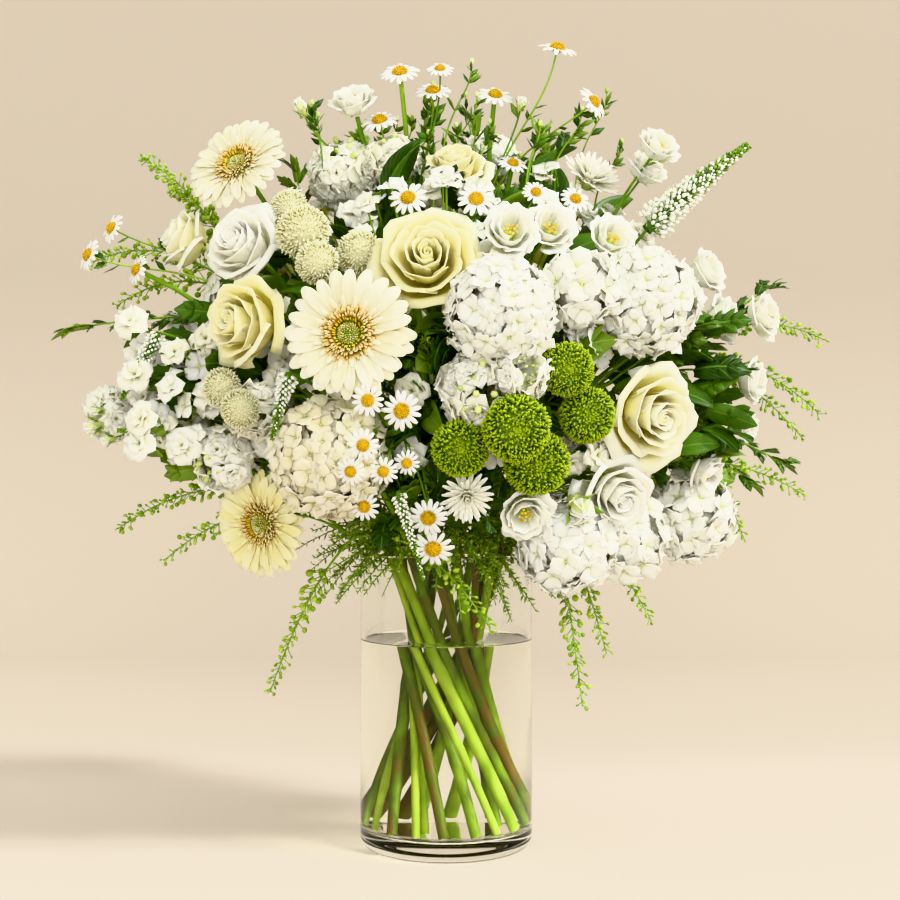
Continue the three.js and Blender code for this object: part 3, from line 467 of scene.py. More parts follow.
SHAPES = {
    "seed": [small_ball()],
    "ray": versions(3, 4, 8, 0.010, lambda k: strap(
        0.146, (0.42, 0.74, 0.94, 1.04, 1.02, 0.5), (0, 0.05, 0.09, 0.10, 0.07 - 0.03 * k), cup=0.22,
        groove=0.022, blunt=0.035)),
    "short_ray": versions(3, 2, 4, 0.02, lambda k: strap(
        0.12, (0.5, 0.9, 1, 0.9, 0.35), (0, 0.1, 0.16, 0.15 + 0.03 * k), cup=0.35)),
    "tongue": versions(2, 2, 3, 0.09, lambda k: strap(
        0.14, (0.8, 0.9, 0.9, 0.5), (0, 0.02, 0.0, -0.14 - 0.06 * k), cup=0.8)),
    "floret_petal": versions(4, 3, 3, 0.03, lambda k: strap(
        0.52, (0.28, 0.84, 1.04, 0.50), (0, 0.08, 0.12, 0.02 + 0.05 * k), cup=0.06 + 0.05 * k, wave=0.17,
        waves=2.3, phase=k * 1.7)),
    "stock_petal": versions(5, 4, 3, 0.035, lambda k: strap(
        0.52, (0.3, 0.9, 1.05, 0.6), (0, 0.1, 0.2, 0.1 - 0.05 * k), cup=0.2, wave=0.26, waves=2.6,
        phase=k * 1.6)),
    "pompon_petal": versions(1, 1, 3, 0.12, lambda k: strap(0.17, (0.8, 1, 0.9, 0.5), (0, 0.05, 0.16, 0.4))),
    "mum_ray": versions(2, 2, 4, 0.03, lambda k: strap(
        0.11, (0.6, 1, 1, 0.9, 0.4), (0, 0.05, 0.12, 0.2, 0.3 + 0.05 * k), cup=0.5)),
    "chamomile_ray": versions(2, 2, 4, 0.03, lambda k: strap(
        0.17, (0.5, 0.95, 1, 1, 0.55), (0, 0.05, 0.03, -0.03, -0.12 - 0.04 * k), cup=0.2)),
    "sepal": versions(1, 2, 4, 0.02, lambda k: strap(
        0.16, (0.7, 1, 0.8, 0.5, 0.08), (0, 0.03, 0.03, 0.0, -0.06), cup=0.3)),
    "needle": versions(1, 1, 2, 0.012, lambda k: strap(0.18, (0.3, 1.0, 0.1), (0, 0.05, -0.03))),
    "leaflet": versions(1, 2, 2, 0.012, lambda k: strap(0.21, (0.25, 1.0, 0.1), (0, 0.05, -0.03), cup=-0.2)),
    "lobe": versions(3, 2, 5, 0.014, lambda k: strap(
        0.25 + 0.03 * k, (0.5, 0.8, 0.78, 1.02, 0.66, 0.62, 0.06),
        (0, 0.04, 0.06, 0.05, 0.02, -0.03, -0.08 - 0.04 * k), cup=-0.16)),
}


def plain_leaf(half, arch, droop, twist, phase):
    """A whole leaf along +Y: arched, drooping to its tip and folded at its midrib."""
    def place(s, t):
        side = half * math.sin(math.pi * min(0.06 + t * 0.92, 1)) ** 0.75 * s
        forward = 0.45 * abs(s) * half * math.sin(math.pi * t)
        height = arch * math.sin(math.pi * t * 0.9) - droop * t * t + twist * s * t * half
        ripple = 0.10 * half * s * s * math.sin(t * 2 * math.pi + phase)
        return Vector((side, t + forward * (1 - t), height + 0.28 * abs(side) + ripple))
    return place


def scroll(s, t):
    """The rolled heart of a rose: one petal wound round itself, lower inside."""
    turns = (s + 1) / 2
    angle = turns * 3.6 * math.pi
    reach = (0.018 + 0.115 * turns) * (1.25 - 0.35 * t)
    return Vector((reach * math.sin(angle), reach * math.cos(angle), -0.5 + (0.90 + 0.06 * turns) * t))


def rose_petal(k, u):
    """Petal k stands tight round the heart at share u = 0, and rolls back from it at 1."""
    return bowl_petal(span=1.36 - 0.46 * u, reach=0.13 + 0.66 * u ** 1.15,
                      top=flow((0.50, 0.57, 0.53, 0.40, 0.18), u), root=-0.66, narrow=0.42 + 0.1 * u,
                      lip=0.03 + 0.26 * u * u, roll=0.012 + 0.26 * u * u, drop=0.12 + 0.10 * u,
                      swirl=0.16 - 0.08 * u, wave=0.010 + 0.034 * u, waves=2.1, phase=k * 2.4, point=0.05 * u)


def silk_petal(k, u):
    """Petal k of a lisianthus: an open cup, wider at share u = 1."""
    return bowl_petal(span=1.12 - 0.30 * u, reach=0.36 + 0.40 * u, top=flow((0.46, 0.44, 0.36, 0.20), u),
                      root=-0.6, narrow=0.40, lip=0.04 + 0.22 * u, roll=0.02 + 0.14 * u, drop=0.12,
                      swirl=0.10, wave=0.025 + 0.03 * u, waves=2.6, phase=k * 2.1)


SHAPES["plain_leaf"] = [sheet(4, 8, plain_leaf(0.2, 0.10, 0.2, 0.25, 0), 0.010),
                        sheet(4, 10, plain_leaf(0.24, 0.08, 0.3, -0.3, 1), 0.010)]
SHAPES["scroll"] = [sheet(40, 3, scroll, 0.016)]
SHAPES["rose"] = [sheet(8, 9, rose_petal(k, k / 20), 0.013) for k in range(21)]
SHAPES["silk"] = [sheet(10, 7, silk_petal(k, k / 11), 0.012) for k in range(12)]


# ------------------------------------------------------------- places and turns
def shift(x, y, z):
    return Matrix.Translation((x, y, z))


def turned(angle, axis):
    return Matrix.Rotation(angle, 4, axis)


def sized(x, y=None, z=None):
    return Matrix.Diagonal((x, x if y is None else y, x if z is None else z, 1))


def at(spin, tilt=0.0, out=0.0, up=0.0, size=1.0, roll=0.0):
    """A place round a flower's axis: turned by spin, out and up from its middle,
    and tipped up by tilt."""
    return turned(spin, "Z") @ shift(0, out, up) @ turned(tilt, "X") @ turned(roll, "Y") @ sized(size)


def upright(direction, spin=0.0):
    """A turn that takes +Z to a direction."""
    return UP.rotation_difference(direction).to_matrix().to_4x4() @ turned(spin, "Z")


def over_ball(count, lowest):
    """Directions spread evenly over a ball from its top down to a lowest height."""
    for k in range(count):
        z = 1 - (k + 0.5) / count * (1 - lowest)
        reach = math.sqrt(max(0.0, 1 - z * z))
        yield k, Vector((reach * math.cos(k * GOLDEN), reach * math.sin(k * GOLDEN), z))


def within(luck, *ranges):
    """A random point in a box, given by its ranges along x, y and z."""
    return Vector([luck.uniform(*ends) for ends in ranges])


def jitter(luck, x, y, z):
    return within(luck, (-x, x), (-y, y), (-z, z))


# ---------------------------------------------------------------- flower heads
# Each builder adds one head of radius 1 round the origin, facing +Z, at spot; radius
# is its real one. The order of the random draws fixes the look of every flower.
def calyx(bunch, spot, luck, count, root, wide, size, finish="bud"):
    """The green cup under a head, with its sepals."""
    bunch.seed(spot @ (shift(0, 0, root) @ sized(wide * 0.55, wide * 0.55, size * 0.28)), finish,
               luck.random())
    for k in range(count):
        turn = k / count * math.tau + luck.uniform(-0.1, 0.1)
        sepal = at(turn, luck.uniform(0.3, 0.6), wide * 0.25, root + 0.05, size)
        bunch.add(SHAPES["sepal"][0], spot @ sepal, finish, luck.random())


def ring(bunch, spot, luck, kind, finish, row, first, jog, sway, grow, tints=1.0):
    """A ring of petals: row holds their count, size, distance out, tilt and height."""
    count, size, out, tilt, up = row
    for k in range(count):
        turn = (k + first) / count * math.tau + luck.uniform(-jog, jog)
        shape = luck.choice(SHAPES[kind])
        placed = at(turn, tilt + luck.uniform(-sway, sway), out, up, size * luck.uniform(*grow))
        bunch.add(shape, spot @ placed, finish, luck.uniform(0, tints))


def gerbera(bunch, spot, luck, finish, radius):
    layers = [("ray", 24, 0.735, 0.26, 0.02, 0.00), ("ray", 23, 0.69, 0.25, 0.10, 0.03),
              ("short_ray", 18, 0.30, 0.28, 0.24, 0.05)]
    for layer, (kind, count, reach, out, tilt, up) in enumerate(layers):
        for k in range(count):
            turn = (k + layer * 0.5) / count * math.tau + luck.uniform(-0.035, 0.035)
            spread = at(turn, tilt + luck.uniform(-0.07, 0.07), out, up, reach * luck.uniform(0.9, 1.03),
                        luck.uniform(-0.12, 0.12))
            bunch.add(luck.choice(SHAPES[kind]), spot @ spread, finish, luck.uniform(0, TINTS))
    calyx(bunch, spot, luck, 14, -0.28, 0.3, 0.32, "young_leaf")
    calyx(bunch, spot, luck, 10, -0.30, 0.3, 0.24, "twig")


def gerbera_disc(bunch, spot, luck):
    """The eye of a gerbera: rings of tongues round closed florets."""
    rows = [(58, 0.12, 0.34, 0.62, 0.06), (54, 0.12, 0.305, 0.8, 0.08), (50, 0.115, 0.268, 0.95, 0.10),
            (44, 0.10, 0.232, 1.1, 0.11), (36, 0.07, 0.195, 1.25, 0.11)]
    for layer, row in enumerate(rows):
        ring(bunch, spot, luck, "tongue", "tongue" if layer < 4 else "stamen", row, layer * 0.5, 0.05, 0.25,
             (0.85, 1.2))
    for k, way in over_ball(90, 0.55):
        dot = shift(way.x * 0.175, way.y * 0.175, 0.05 + way.z * 0.08) @ upright(way)
        bunch.seed(spot @ (dot @ sized(0.014, 0.014, 0.02)), "eye" if k > 3 else "twig", luck.random())


def whorl(bunch, spot, luck, petals, finish):
    """Petals from the heart out, a golden turn apart, each a little out of true."""
    turn = luck.uniform(0, math.tau)
    for k, shape in enumerate(petals):
        turn += GOLDEN + luck.uniform(-0.12, 0.12)
        tilt = luck.uniform(-0.10, 0.06) * (0.3 + k / (len(petals) - 1))
        placed = at(turn, tilt, size=luck.uniform(0.96, 1.04))
        bunch.add(shape, spot @ placed, finish, luck.uniform(0, TINTS))


def rose(bunch, spot, luck, finish, radius):
    bunch.add(SHAPES["scroll"][0], spot @ turned(luck.uniform(0, 6), "Z"), finish, 0.9)
    whorl(bunch, spot, luck, SHAPES["rose"], finish)
    calyx(bunch, spot, luck, 5, -0.76, 0.3, 0.6)


def lisianthus(bunch, spot, luck, finish, radius):
    """An open cup round a yellow-green heart; the largest are double and rolled."""
    if radius > 24:
        bunch.add(SHAPES["scroll"][0], spot, finish)
        whorl(bunch, spot, luck, SHAPES["rose"], finish)
    else:
        whorl(bunch, spot, luck, SHAPES["silk"], finish)
        bunch.seed(spot @ (shift(0, 0, -0.45) @ sized(0.12, 0.12, 0.24)), "bud", 0.3)
        for k in range(12):
            bunch.seed(spot @ at(k * GOLDEN, 0, 0.07 + 0.015 * k, 0.03 * (k % 3), 0.05), "stamen",
                       luck.random())
    calyx(bunch, spot, luck, 5, -0.66, 0.26, 0.5)


def mum(bunch, spot, luck, finish, radius):
    rows = [(20, 0.72, 0.2, 0.0, -0.05), (20, 0.62, 0.18, 0.35, 0.02), (17, 0.5, 0.14, 0.65, 0.08),
            (13, 0.4, 0.1, 0.95, 0.12), (9, 0.3, 0.06, 1.25, 0.14)]
    for layer, row in enumerate(rows):
        ring(bunch, spot, luck, "mum_ray", finish, row, layer * 0.4, 0.06, 0.1, (0.9, 1.06), TINTS)
    calyx(bunch, spot, luck, 9, -0.4, 0.3, 0.4)


def four_petals(bunch, middle, luck, size, finish):
    """A hydrangea floret: four broad petals round a tiny bead."""
    tint = luck.uniform(0, TINTS)
    for turn in range(4):
        shape = luck.choice(SHAPES["floret_petal"])
        placed = at(turn * math.pi / 2 + luck.uniform(-0.1, 0.1), luck.uniform(-0.12, 0.34), 0.02 * size,
                    0.02 * size * (turn % 2), size)
        bunch.add(shape, middle @ placed, finish, tint)
    bunch.seed(middle @ sized(size * 0.07), "bud", 0.7)


def hydrangea(bunch, spot, luck, finish, radius):
    """A ball of four-petal florets over a smaller shell of them."""
    small = FLORET["hydrangea" if finish == "hydrangea" and radius < 31 else "fine_hydrangea"] / radius
    bunch.seed(spot @ sized(0.8) @ shift(0, 0, -1), finish, 0.2)
    for shell, share, lowest in ((0.82, 3.6, -0.7), (0.92, 5.4, -0.85)):
        for k, way in over_ball(int(share / small ** 2), lowest):
            jog = jitter(luck, 1, 1, 1)
            lean = (way + jog * 0.28).normalized()
            depth = shell + luck.uniform(-0.05, 0.06)
            middle = spot @ Matrix.Translation((way + jog * 0.05) * depth) @ upright(lean, luck.uniform(0, 1.6))
            four_petals(bunch, middle, luck, small * luck.uniform(0.86, 1.14), finish)
    for k, way in over_ball(12, -0.5):
        bunch.strand([spot @ (way * 0.2), spot @ (way * 0.6)], (0.6 * MM, 0.5 * MM), "twig")


# Tiers of petals in a double floret, and in a plainer one: count, tilt and size.
DOUBLE = [(5, -0.05, 1.0), (5, 0.38, 0.8), (4, 0.9, 0.55)]
PLAIN = [(5, 0.0, 1.0), (4, 0.65, 0.72)]


def stock_floret(bunch, middle, luck, size, tiers):
    """A floret of crumpled petals."""
    tint = luck.uniform(0, TINTS)
    for count, tilt, share in tiers:
        start = luck.uniform(0, math.tau)
        for k in range(count):
            shape = luck.choice(SHAPES["stock_petal"])
            placed = at(start + k / count * math.tau + luck.uniform(-0.2, 0.2),
                        tilt + luck.uniform(-0.22, 0.22), 0.04 * size, 0, size * share,
                        luck.uniform(-0.25, 0.25))
            bunch.add(shape, middle @ placed, "stock", tint)


def stock(bunch, spot, luck, finish, radius):
    """Ruffled double florets round a spike, with green buds at its tip."""
    size = FLORET["stock"] / radius
    for k, way in over_ball(max(7, int(3.0 / size ** 2)) + 2, -0.75):
        if k < 2:
            continue
        jog = jitter(luck, 1, 1, 1) * 0.25
        middle = spot @ Matrix.Translation(way * luck.uniform(0.5, 0.7))
        middle = middle @ upright((way + jog).normalized(), luck.uniform(0, 3))
        stock_floret(bunch, middle, luck, size * luck.uniform(0.85, 1.1), DOUBLE)
    for k, way in over_ball(12, 0.55):
        wide = luck.uniform(0.055, 0.09)
        place = Matrix.Translation(way * luck.uniform(0.55, 0.7)) @ upright(way)
        bunch.seed(spot @ (place @ sized(wide, wide, wide * 1.4)), "bud", luck.uniform(0.3, 1))


def tufted(bunch, spot, luck, finish, count, size, dimple, tall):
    """A dense ball of short petals over a small core of its own colour."""
    bunch.seed(spot @ (sized(0.78, 0.78, 0.66 * tall) @ shift(0, 0, -1)), finish, 0.4)
    for k, way in over_ball(count, -0.7):
        inner = max(0.0, (way.z - 0.8) / 0.2)
        reach = 0.84 - dimple * inner + luck.uniform(-0.03, 0.03)
        place = shift(way.x * reach, way.y * reach, way.z * reach * tall)
        lean = way + Vector((luck.uniform(-0.16, 0.16), luck.uniform(-0.16, 0.16),
                             0.3 + luck.uniform(-0.1, 0.1)))
        tip = place @ upright(lean.normalized(), luck.uniform(0, 6)) @ turned(math.pi / 2, "X")
        tip = tip @ sized(size * luck.uniform(0.85, 1.15)) @ shift(0, -0.4, 0)
        bunch.add(SHAPES["pompon_petal"][0], spot @ tip, finish, luck.random() * (1 - inner) + inner)


def pompon(bunch, spot, luck, finish, radius):
    tufted(bunch, spot, luck, finish, 420, 0.19, 0.06, 0.82)


def button(bunch, spot, luck, finish, radius):
    tufted(bunch, spot, luck, finish, 760, 0.20, 0.24, 0.78)


def chamomile(bunch, spot, luck, finish, radius):
    row = (luck.choice((14, 15, 16)), 0.72, 0.3, 0.05, 0.02)
    ring(bunch, spot, luck, "chamomile_ray", "ray", row, 0, 0.06, 0.12, (0.92, 1.05), 0.6)
    bunch.seed(spot @ (shift(0, 0, -0.12) @ sized(0.33, 0.33, 0.2)), "yolk", 0.4)
    for k, way in over_ball(64, 0.0):
        grain = shift(way.x * 0.33, way.y * 0.33, 0.05 + way.z * 0.26) @ upright(way)
        bunch.seed(spot @ (grain @ sized(0.042, 0.042, 0.05)), "yolk", luck.random())
    calyx(bunch, spot, luck, 8, -0.22, 0.3, 0.25, "twig")


def bud(bunch, spot, luck, finish, radius):
    """A closed bud: white petals wrapped in green sepals."""
    bunch.seed(spot @ (shift(0, 0, -0.9) @ sized(0.44, 0.44, 0.8)), "bud", 0.9)
    for k in range(5):
        wrap = at(k / 5 * math.tau, 1.8, 0.42, -0.85, 1.75, 0.15) @ sized(0.55, 1, 1)
        bunch.add(SHAPES["floret_petal"][k % 4], spot @ wrap, "lisianthus", luck.random())
    for k in range(5):
        bunch.add(SHAPES["sepal"][0], spot @ at(k / 5 * math.tau, 1.15, 0.32, -0.8, 1.3),
                  "twig" if k % 2 else "bud", luck.random())


# How each kind of head is made, and how far behind its middle its stem ends.
KINDS = {"gerbera": (gerbera, 0.32), "rose": (rose, 0.8), "lisianthus": (lisianthus, 0.75),
         "mum": (mum, 0.6), "hydrangea": (hydrangea, 0.72), "stock": (stock, 0.85), "pompon": (pompon, 0.8),
         "button": (button, 0.78), "chamomile": (chamomile, 0.5), "bud": (bud, 1.0)}
# hydrangea_left and hydrangea_back take the cream finish that is darkened as painted shade.
OTHER_FINISH = {"gerbera_low_left": "butter", "rose_right": "pale_rose", "rose_far_left": "pale_rose",
                "rose_back_right": "pale_rose", "hydrangea_left": "cream_hydrangea",
                "hydrangea_back": "cream_hydrangea"}

# Every flower head by kind and node: x, y, z of its middle and its radius. A fifth
# entry turns the head another way than outward from the dome, or makes it a bud.
HEADS = {
    "gerbera": {
        "gerbera_top_left": [(-141, -33, 470, 38, (-0.5, -1, 0.6))],
        "gerbera_front": [(-59, -140, 348, 42, (-0.15, -1, 0.15))],
        "gerbera_low_left": [(-122, -57, 228, 37, (-0.6, -1, -0.15))],
        "gerbera_back": [(-35, 118, 400, 40)]},
    "rose": {
        "rose_centre": [(-11, -120, 396, 38)],
        "rose_left": [(-130, -95, 359, 33, (-0.9, -1, 0.1))],
        "rose_far_left": [(-180, -24, 422, 24, (-1, -0.4, 0.5))],
        "rose_right": [(133, -88, 299, 36)],
        "rose_back_left": [(-128, 72, 392, 36)],
        "rose_back_right": [(92, 86, 418, 36)],
        "spray_rose": [(7, -46, 467, 24, (0, -0.8, 1))]},
    "lisianthus": {
        "lisianthus_left": [(-134, -66, 412, 30)],
        "lisianthus_right": [(179, -21, 400, 19), (192, -15, 367, 20), (217, -28, 369, 18), (143, -44, 481, 17),
                             (138, -23, 469, 17)],
        "lisianthus_middle": [(41, -113, 415, 21), (67, -96, 419, 20), (108, -83, 414, 19)],
        "lisianthus_low": [(110, -89, 248, 28), (50, -104, 236, 20), (86, -107, 239, 15, "bud")],
        "lisianthus_top": [(-63, -40, 513, 17), (-98, -41, 508, 8, "bud")],
        "lisianthus_side": [(211, -20, 324, 17), (208, -19, 292, 12), (177, -31, 260, 18)],
        "lisianthus_back": [(150, 75, 330, 24), (172, 50, 372, 21), (128, 82, 262, 24)]},
    "mum": {
        "white_mum_top": [(99, -24, 463, 24)],
        "white_mum_low": [(13, -119, 248, 19)]},
    "hydrangea": {
        "hydrangea_right": [(127, -97, 372, 34), (84, -118, 377, 22)],
        "hydrangea_centre": [(34, -139, 362, 33)],
        "hydrangea_left": [(-73, -112, 273, 37)],
        "hydrangea_low": [(79, -79, 216, 30), (118, -49, 219, 28), (169, -7, 231, 30)],
        "hydrangea_back": [(62, 132, 318, 36), (-74, 118, 288, 35)]},
    "stock": {
        "stock_top": [(-70, -21, 466, 31), (-36, -34, 474, 21)],
        "stock_centre": [(21, -126, 315, 30), (46, -145, 325, 16)],
        "stock_left": [(-196, 10, 337, 26), (-188, 12, 304, 26), (-148, -62, 272, 24), (-230, -19, 300, 20),
                       (-239, -38, 293, 8, "bud"), (-236, -40, 303, 6, "bud"), (-228, -44, 284, 6, "bud"),
                       (-124, -84, 303, 20)],
        "stock_back": [(-160, 55, 310, 28), (-178, 35, 362, 24)],
        "stock_crown": [(30, 30, 486, 24), (-20, 62, 470, 22)]},
    "pompon": {
        "pompons_top": [(-92, -95, 417, 19), (-81, -116, 395, 15), (-55, -105, 402, 16), (-105, -56, 438, 14)],
        "pompons_left": [(-144, -94, 317, 14), (-130, -110, 303, 14)],
        "pompons_back": [(28, 132, 368, 16), (48, 118, 390, 15)]},
    "button": {
        "green_mums_right": [(75, -131, 327, 18), (89, -116, 299, 19)],
        "green_mums_centre": [(43, -150, 290, 22), (57, -120, 269, 22), (9, -133, 278, 19)],
        "green_mums_back": [(-12, 151, 330, 19), (-40, 132, 338, 18)]},
    "chamomile": {
        "chamomile_top": [(-31, -46, 530, 13), (-9, -39, 519, 12), (-4, -48, 532, 9), (-45, -34, 500, 13)],
        "chamomile_top_right": [(33, -40, 516, 12), (74, -54, 544, 13, (0.2, -0.4, 1)),
                                (99, -42, 511, 12, (0.8, -0.6, 0.6)), (51, -39, 511, 6, "bud")],
        "chamomile_upper": [(45, -40, 470, 10), (58, -89, 443, 9), (-24, -111, 436, 12), (19, -113, 435, 12),
                            (84, -80, 440, 10)],
        "chamomile_left": [(-211, -26, 400, 11), (-226, -36, 427, 11), (-242, -36, 409, 11)],
        "chamomile_front": [(-47, -158, 307, 10), (-27, -145, 301, 12), (-50, -156, 280, 10),
                            (-58, -149, 264, 9), (-38, -149, 264, 9), (-51, -125, 242, 10),
                            (-24, -142, 269, 8), (-11, -124, 235, 12), (-8, -112, 215, 13)],
        "chamomile_back": [(-62, 62, 462, 12), (-28, 40, 490, 12), (-90, 60, 452, 11)]},
}


# --------------------------------------------------------------------- bouquet
def facing_of(middle, turned_to):
    """The way a head faces: outward from the dome, and the front ones forward."""
    if turned_to:
        return Vector(turned_to[0]).normalized()
    away = middle - CROWN_CENTRE
    away = Vector([away[i] / CROWN_HALF[i] ** 2 for i in range(3)]).normalized()
    if middle.y < 20:
        away.y -= FRONT_LEAN
    return away.normalized()


def head_spot(middle, facing, spin, radius):
    """The place of a head: its middle, its axis along facing, and its size."""
    up = Vector((0, 1, 0)) if abs(facing.z) > 0.95 else UP
    x = up.cross(facing).normalized()
    axes = Matrix((x, facing.cross(x), facing)).transposed().to_4x4()
    return Matrix.Translation(middle * MM) @ axes @ turned(spin, "Z") @ sized(radius * MM)


def arc(start, end, lift, steps):
    """Points along a stem that bends by lift half way from start to end."""
    middle = (start + end) / 2 + lift
    shares = [k / steps for k in range(steps + 1)]
    return [start * (1 - t) ** 2 + middle * (2 * t * (1 - t)) + end * t * t for t in shares]


def bezier(a, b, c, d, t):
    return a * (1 - t) ** 3 + b * (3 * t * (1 - t) ** 2) + c * (3 * t * t * (1 - t)) + d * t ** 3


def taper(thick, loss, steps):
    """Radii along a stem that loses so much of its thickness by its end."""
    return [(thick - loss * k / steps) * MM for k in range(steps + 1)]


def on_line(line, t):
    """The point at share t of a line, and the way the line runs there."""
    steps = len(line) - 1
    step = min(int(t * steps), steps - 1)
    return line[step].lerp(line[step + 1], t * steps - step), (line[step + 1] - line[step]).normalized()


def aimed(start, end, roll):
    """A turn and size that lay a leaf's length from start to end."""
    way = end - start
    y = way.normalized()
    flat = Vector((way.y, -way.x, 0))
    flat = flat.normalized() if flat.length > 1e-6 else Vector((1, 0, 0))
    x = Matrix.Rotation(roll, 3, y) @ flat
    axes = Matrix((x, y, x.cross(y))).transposed().to_4x4()
    return Matrix.Translation(start) @ axes @ sized(way.length)


def side_stem(bunch, fork, seat, facing, luck, thick, leafed):
    """A stem that leaves a fork and rises to a flower, with a few leaflets."""
    span = (seat - fork).length
    out = fork + Vector((0, 0, 0.45)) * span + (seat - fork) * 0.2
    come = seat - facing * span * 0.3
    points = [bezier(fork, out, come, seat, k / 14) * MM for k in range(15)]
    bunch.strand(points, [(thick * (1.1 - 0.3 * k / 14)) * MM for k in range(15)], "twig", luck.random())
    for k in range(leafed):
        step = luck.randint(6, 13)
        way = (points[step] - points[step - 1]).normalized()
        turn = upright(way, luck.uniform(0, 6.3)) @ turned(luck.uniform(0.6, 1.0), "X")
        tip = points[step] + (turn @ Vector((0, 0, luck.uniform(6, 13) * MM)))
        bunch.add(SHAPES["leaflet"][0], aimed(points[step], tip, luck.uniform(0, 3)),
                  luck.choice(("young_leaf", "leaf")), luck.random())


def build_heads():
    """All flower heads; gives back where each node's own stem has to arrive."""
    ends = []
    nodes = [(kind, name) for kind, rows in HEADS.items() for name in rows]
    for index, (main, name) in enumerate(nodes):
        bunch, luck, fork = Bunch(), random.Random(SEEDS["heads"] + index), None
        for x, y, z, radius, *extra in HEADS[main][name]:
            kind, turned_to = ("bud", None) if extra == ["bud"] else (main, extra)
            maker, root = KINDS[kind]
            middle = Vector((x, y, z))
            facing = facing_of(middle, turned_to)
            spot = head_spot(middle, facing, luck.uniform(0, math.tau), radius)
            maker(bunch, spot, luck, OTHER_FINISH.get(name, kind), radius)
            if kind == "gerbera":
                disc = Bunch()
                gerbera_disc(disc, spot, luck)
                disc.make(name + "_eye", name + "_disc")
            seat = middle - facing * root * radius
            if fork is None:
                ends.append((seat, facing))
                fork = HUB.lerp(seat, 0.55)
                continue
            side_stem(bunch, fork + jitter(luck, 8, 8, 8), middle.lerp(seat, HOLD), facing, luck,
                      0.75 if kind in ("chamomile", "bud") else 1.1, 7 if kind == "chamomile" else 2)
        bunch.make(name + "_flowers", name)
    return ends


# ----------------------------------------------------------------- cut stems
def spiral_ring(count, foot, neck, twist):
    ring_of_stems = []
    for k in range(count):
        start = k / count * math.tau
        end = start + twist
        low = Vector((foot * math.cos(start), foot * math.sin(start), VASE["floor"] + STEM["lift"]))
        high = Vector((neck * math.cos(end), neck * math.sin(end), STEM["neck_height"]))
        ring_of_stems.append({"foot": low, "neck": high, "carried": 0})
    return ring_of_stems


def nearest_stem(stems, target):
    """The stem whose neck lies nearest in direction and carries least."""
    bearing = math.atan2(target.y, target.x)

    def cost(stem):
        turn = abs(math.atan2(stem["neck"].y, stem["neck"].x) - bearing)
        return min(turn, math.tau - turn) + stem["carried"] * 0.35

    best = min(stems, key=cost)
    best["carried"] += 1
    return best


def build_stems(ends):
    """The spiral of stems in the water, and a twig from it to every flower."""
    outer = spiral_ring(STEM["outer"], STEM["foot"], STEM["neck"], STEM["twist"])
    inner = spiral_ring(STEM["inner"], STEM["inner_foot"], STEM["inner_neck"], STEM["inner_twist"])
    bunch, luck = Bunch(), random.Random(SEEDS["stems"])
    for target, arriving in ends:
        high = math.hypot(target.x, target.y) < (target.z - HUB.z) * 0.55
        stem = nearest_stem(inner if high else outer, target)
        neck, rise = stem["neck"], (stem["neck"] - stem["foot"]).normalized()
        length = (neck - target).length
        leave = neck + rise * length * 0.35
        arrive = target - arriving * length * 0.3
        points = [(neck - rise * 5) * MM]
        points += [bezier(neck, leave, arrive, target, k / 9) * MM for k in range(1, 10)]
        bunch.strand(points, taper(2.1, 0.5, 9), "twig", luck.random())
    for stem in outer + inner:
        foot, neck = stem["foot"], stem["neck"]
        thick = STEM["radius"] * luck.uniform(0.66, 0.98)
        bow = Vector((luck.uniform(-1, 1), luck.uniform(-1, 1), 0)) * 2.4
        slip = Vector((luck.uniform(-2, 2), luck.uniform(-2, 2), 0))
        points, radii = [], []
        joints = [luck.uniform(0.1, 0.3), luck.uniform(0.45, 0.6), luck.uniform(0.75, 0.9)]
        for k in range(25):
            t = k / 24
            points.append((foot.lerp(neck, t) + bow * math.sin(math.pi * t) + slip * (1 - t)) * MM)
            swell = sum(math.exp(-((t - joint) / 0.018) ** 2) for joint in joints)
            radii.append(thick * (1 + 0.13 * swell - 0.1 * t) * MM)
        bunch.strand(points, radii, "stem", luck.random())
        rise = (neck - foot).normalized()
        cut = Matrix.Translation((foot + slip - rise * 0.25) * MM) @ upright(rise)
        bunch.seed(cut @ sized(thick * 0.8 * MM, thick * 0.8 * MM, 0.4 * MM), "pith")
    bunch.make("cut_stems", "stems", round_steps=4)


# ------------------------------------------------------------ sprays and leaves
# Each spray starts at a joint. A veronica spike has a base, a tip and a radius; a
# penny-cress branch has its tip; a leafy sprig has a start, an end and a leaf width.
VERONICA = {
    "veronica_left": [(-168, -6, 318), [((-190, -60, 355), (-215, -60, 311), 7.5),
                                        ((-172, -62, 281), (-216, -66, 290), 7.5),
                                        ((-97, -132, 325), (-108, -128, 284), 7)]],
    "veronica_right": [(112, -22, 395), [((132, -68, 422), (199, -60, 478), 14)]],
    "veronica_low": [(-14, -66, 226), [((-30, -134, 250), (-14, -122, 196), 5)]],
}
PENNY_CRESS = {
    "penny_cress_left": [(-128, 6, 372), [(-214, 6, 482), (-192, -4, 458), (-250, 14, 410), (-232, 6, 378)]],
    "penny_cress_low": [(-62, -42, 218), [(-230, 4, 222), (-196, -8, 200), (-120, -30, 112), (30, -96, 160)]],
    "penny_cress_right": [(72, -14, 232), [(90, -66, 108), (108, -44, 140), (140, -30, 160), (248, -10, 246)]],
    "penny_cress_far_right": [(150, 22, 330), [(264, 0, 354), (260, -4, 302), (252, 16, 286), (213, 30, 214)]],
}
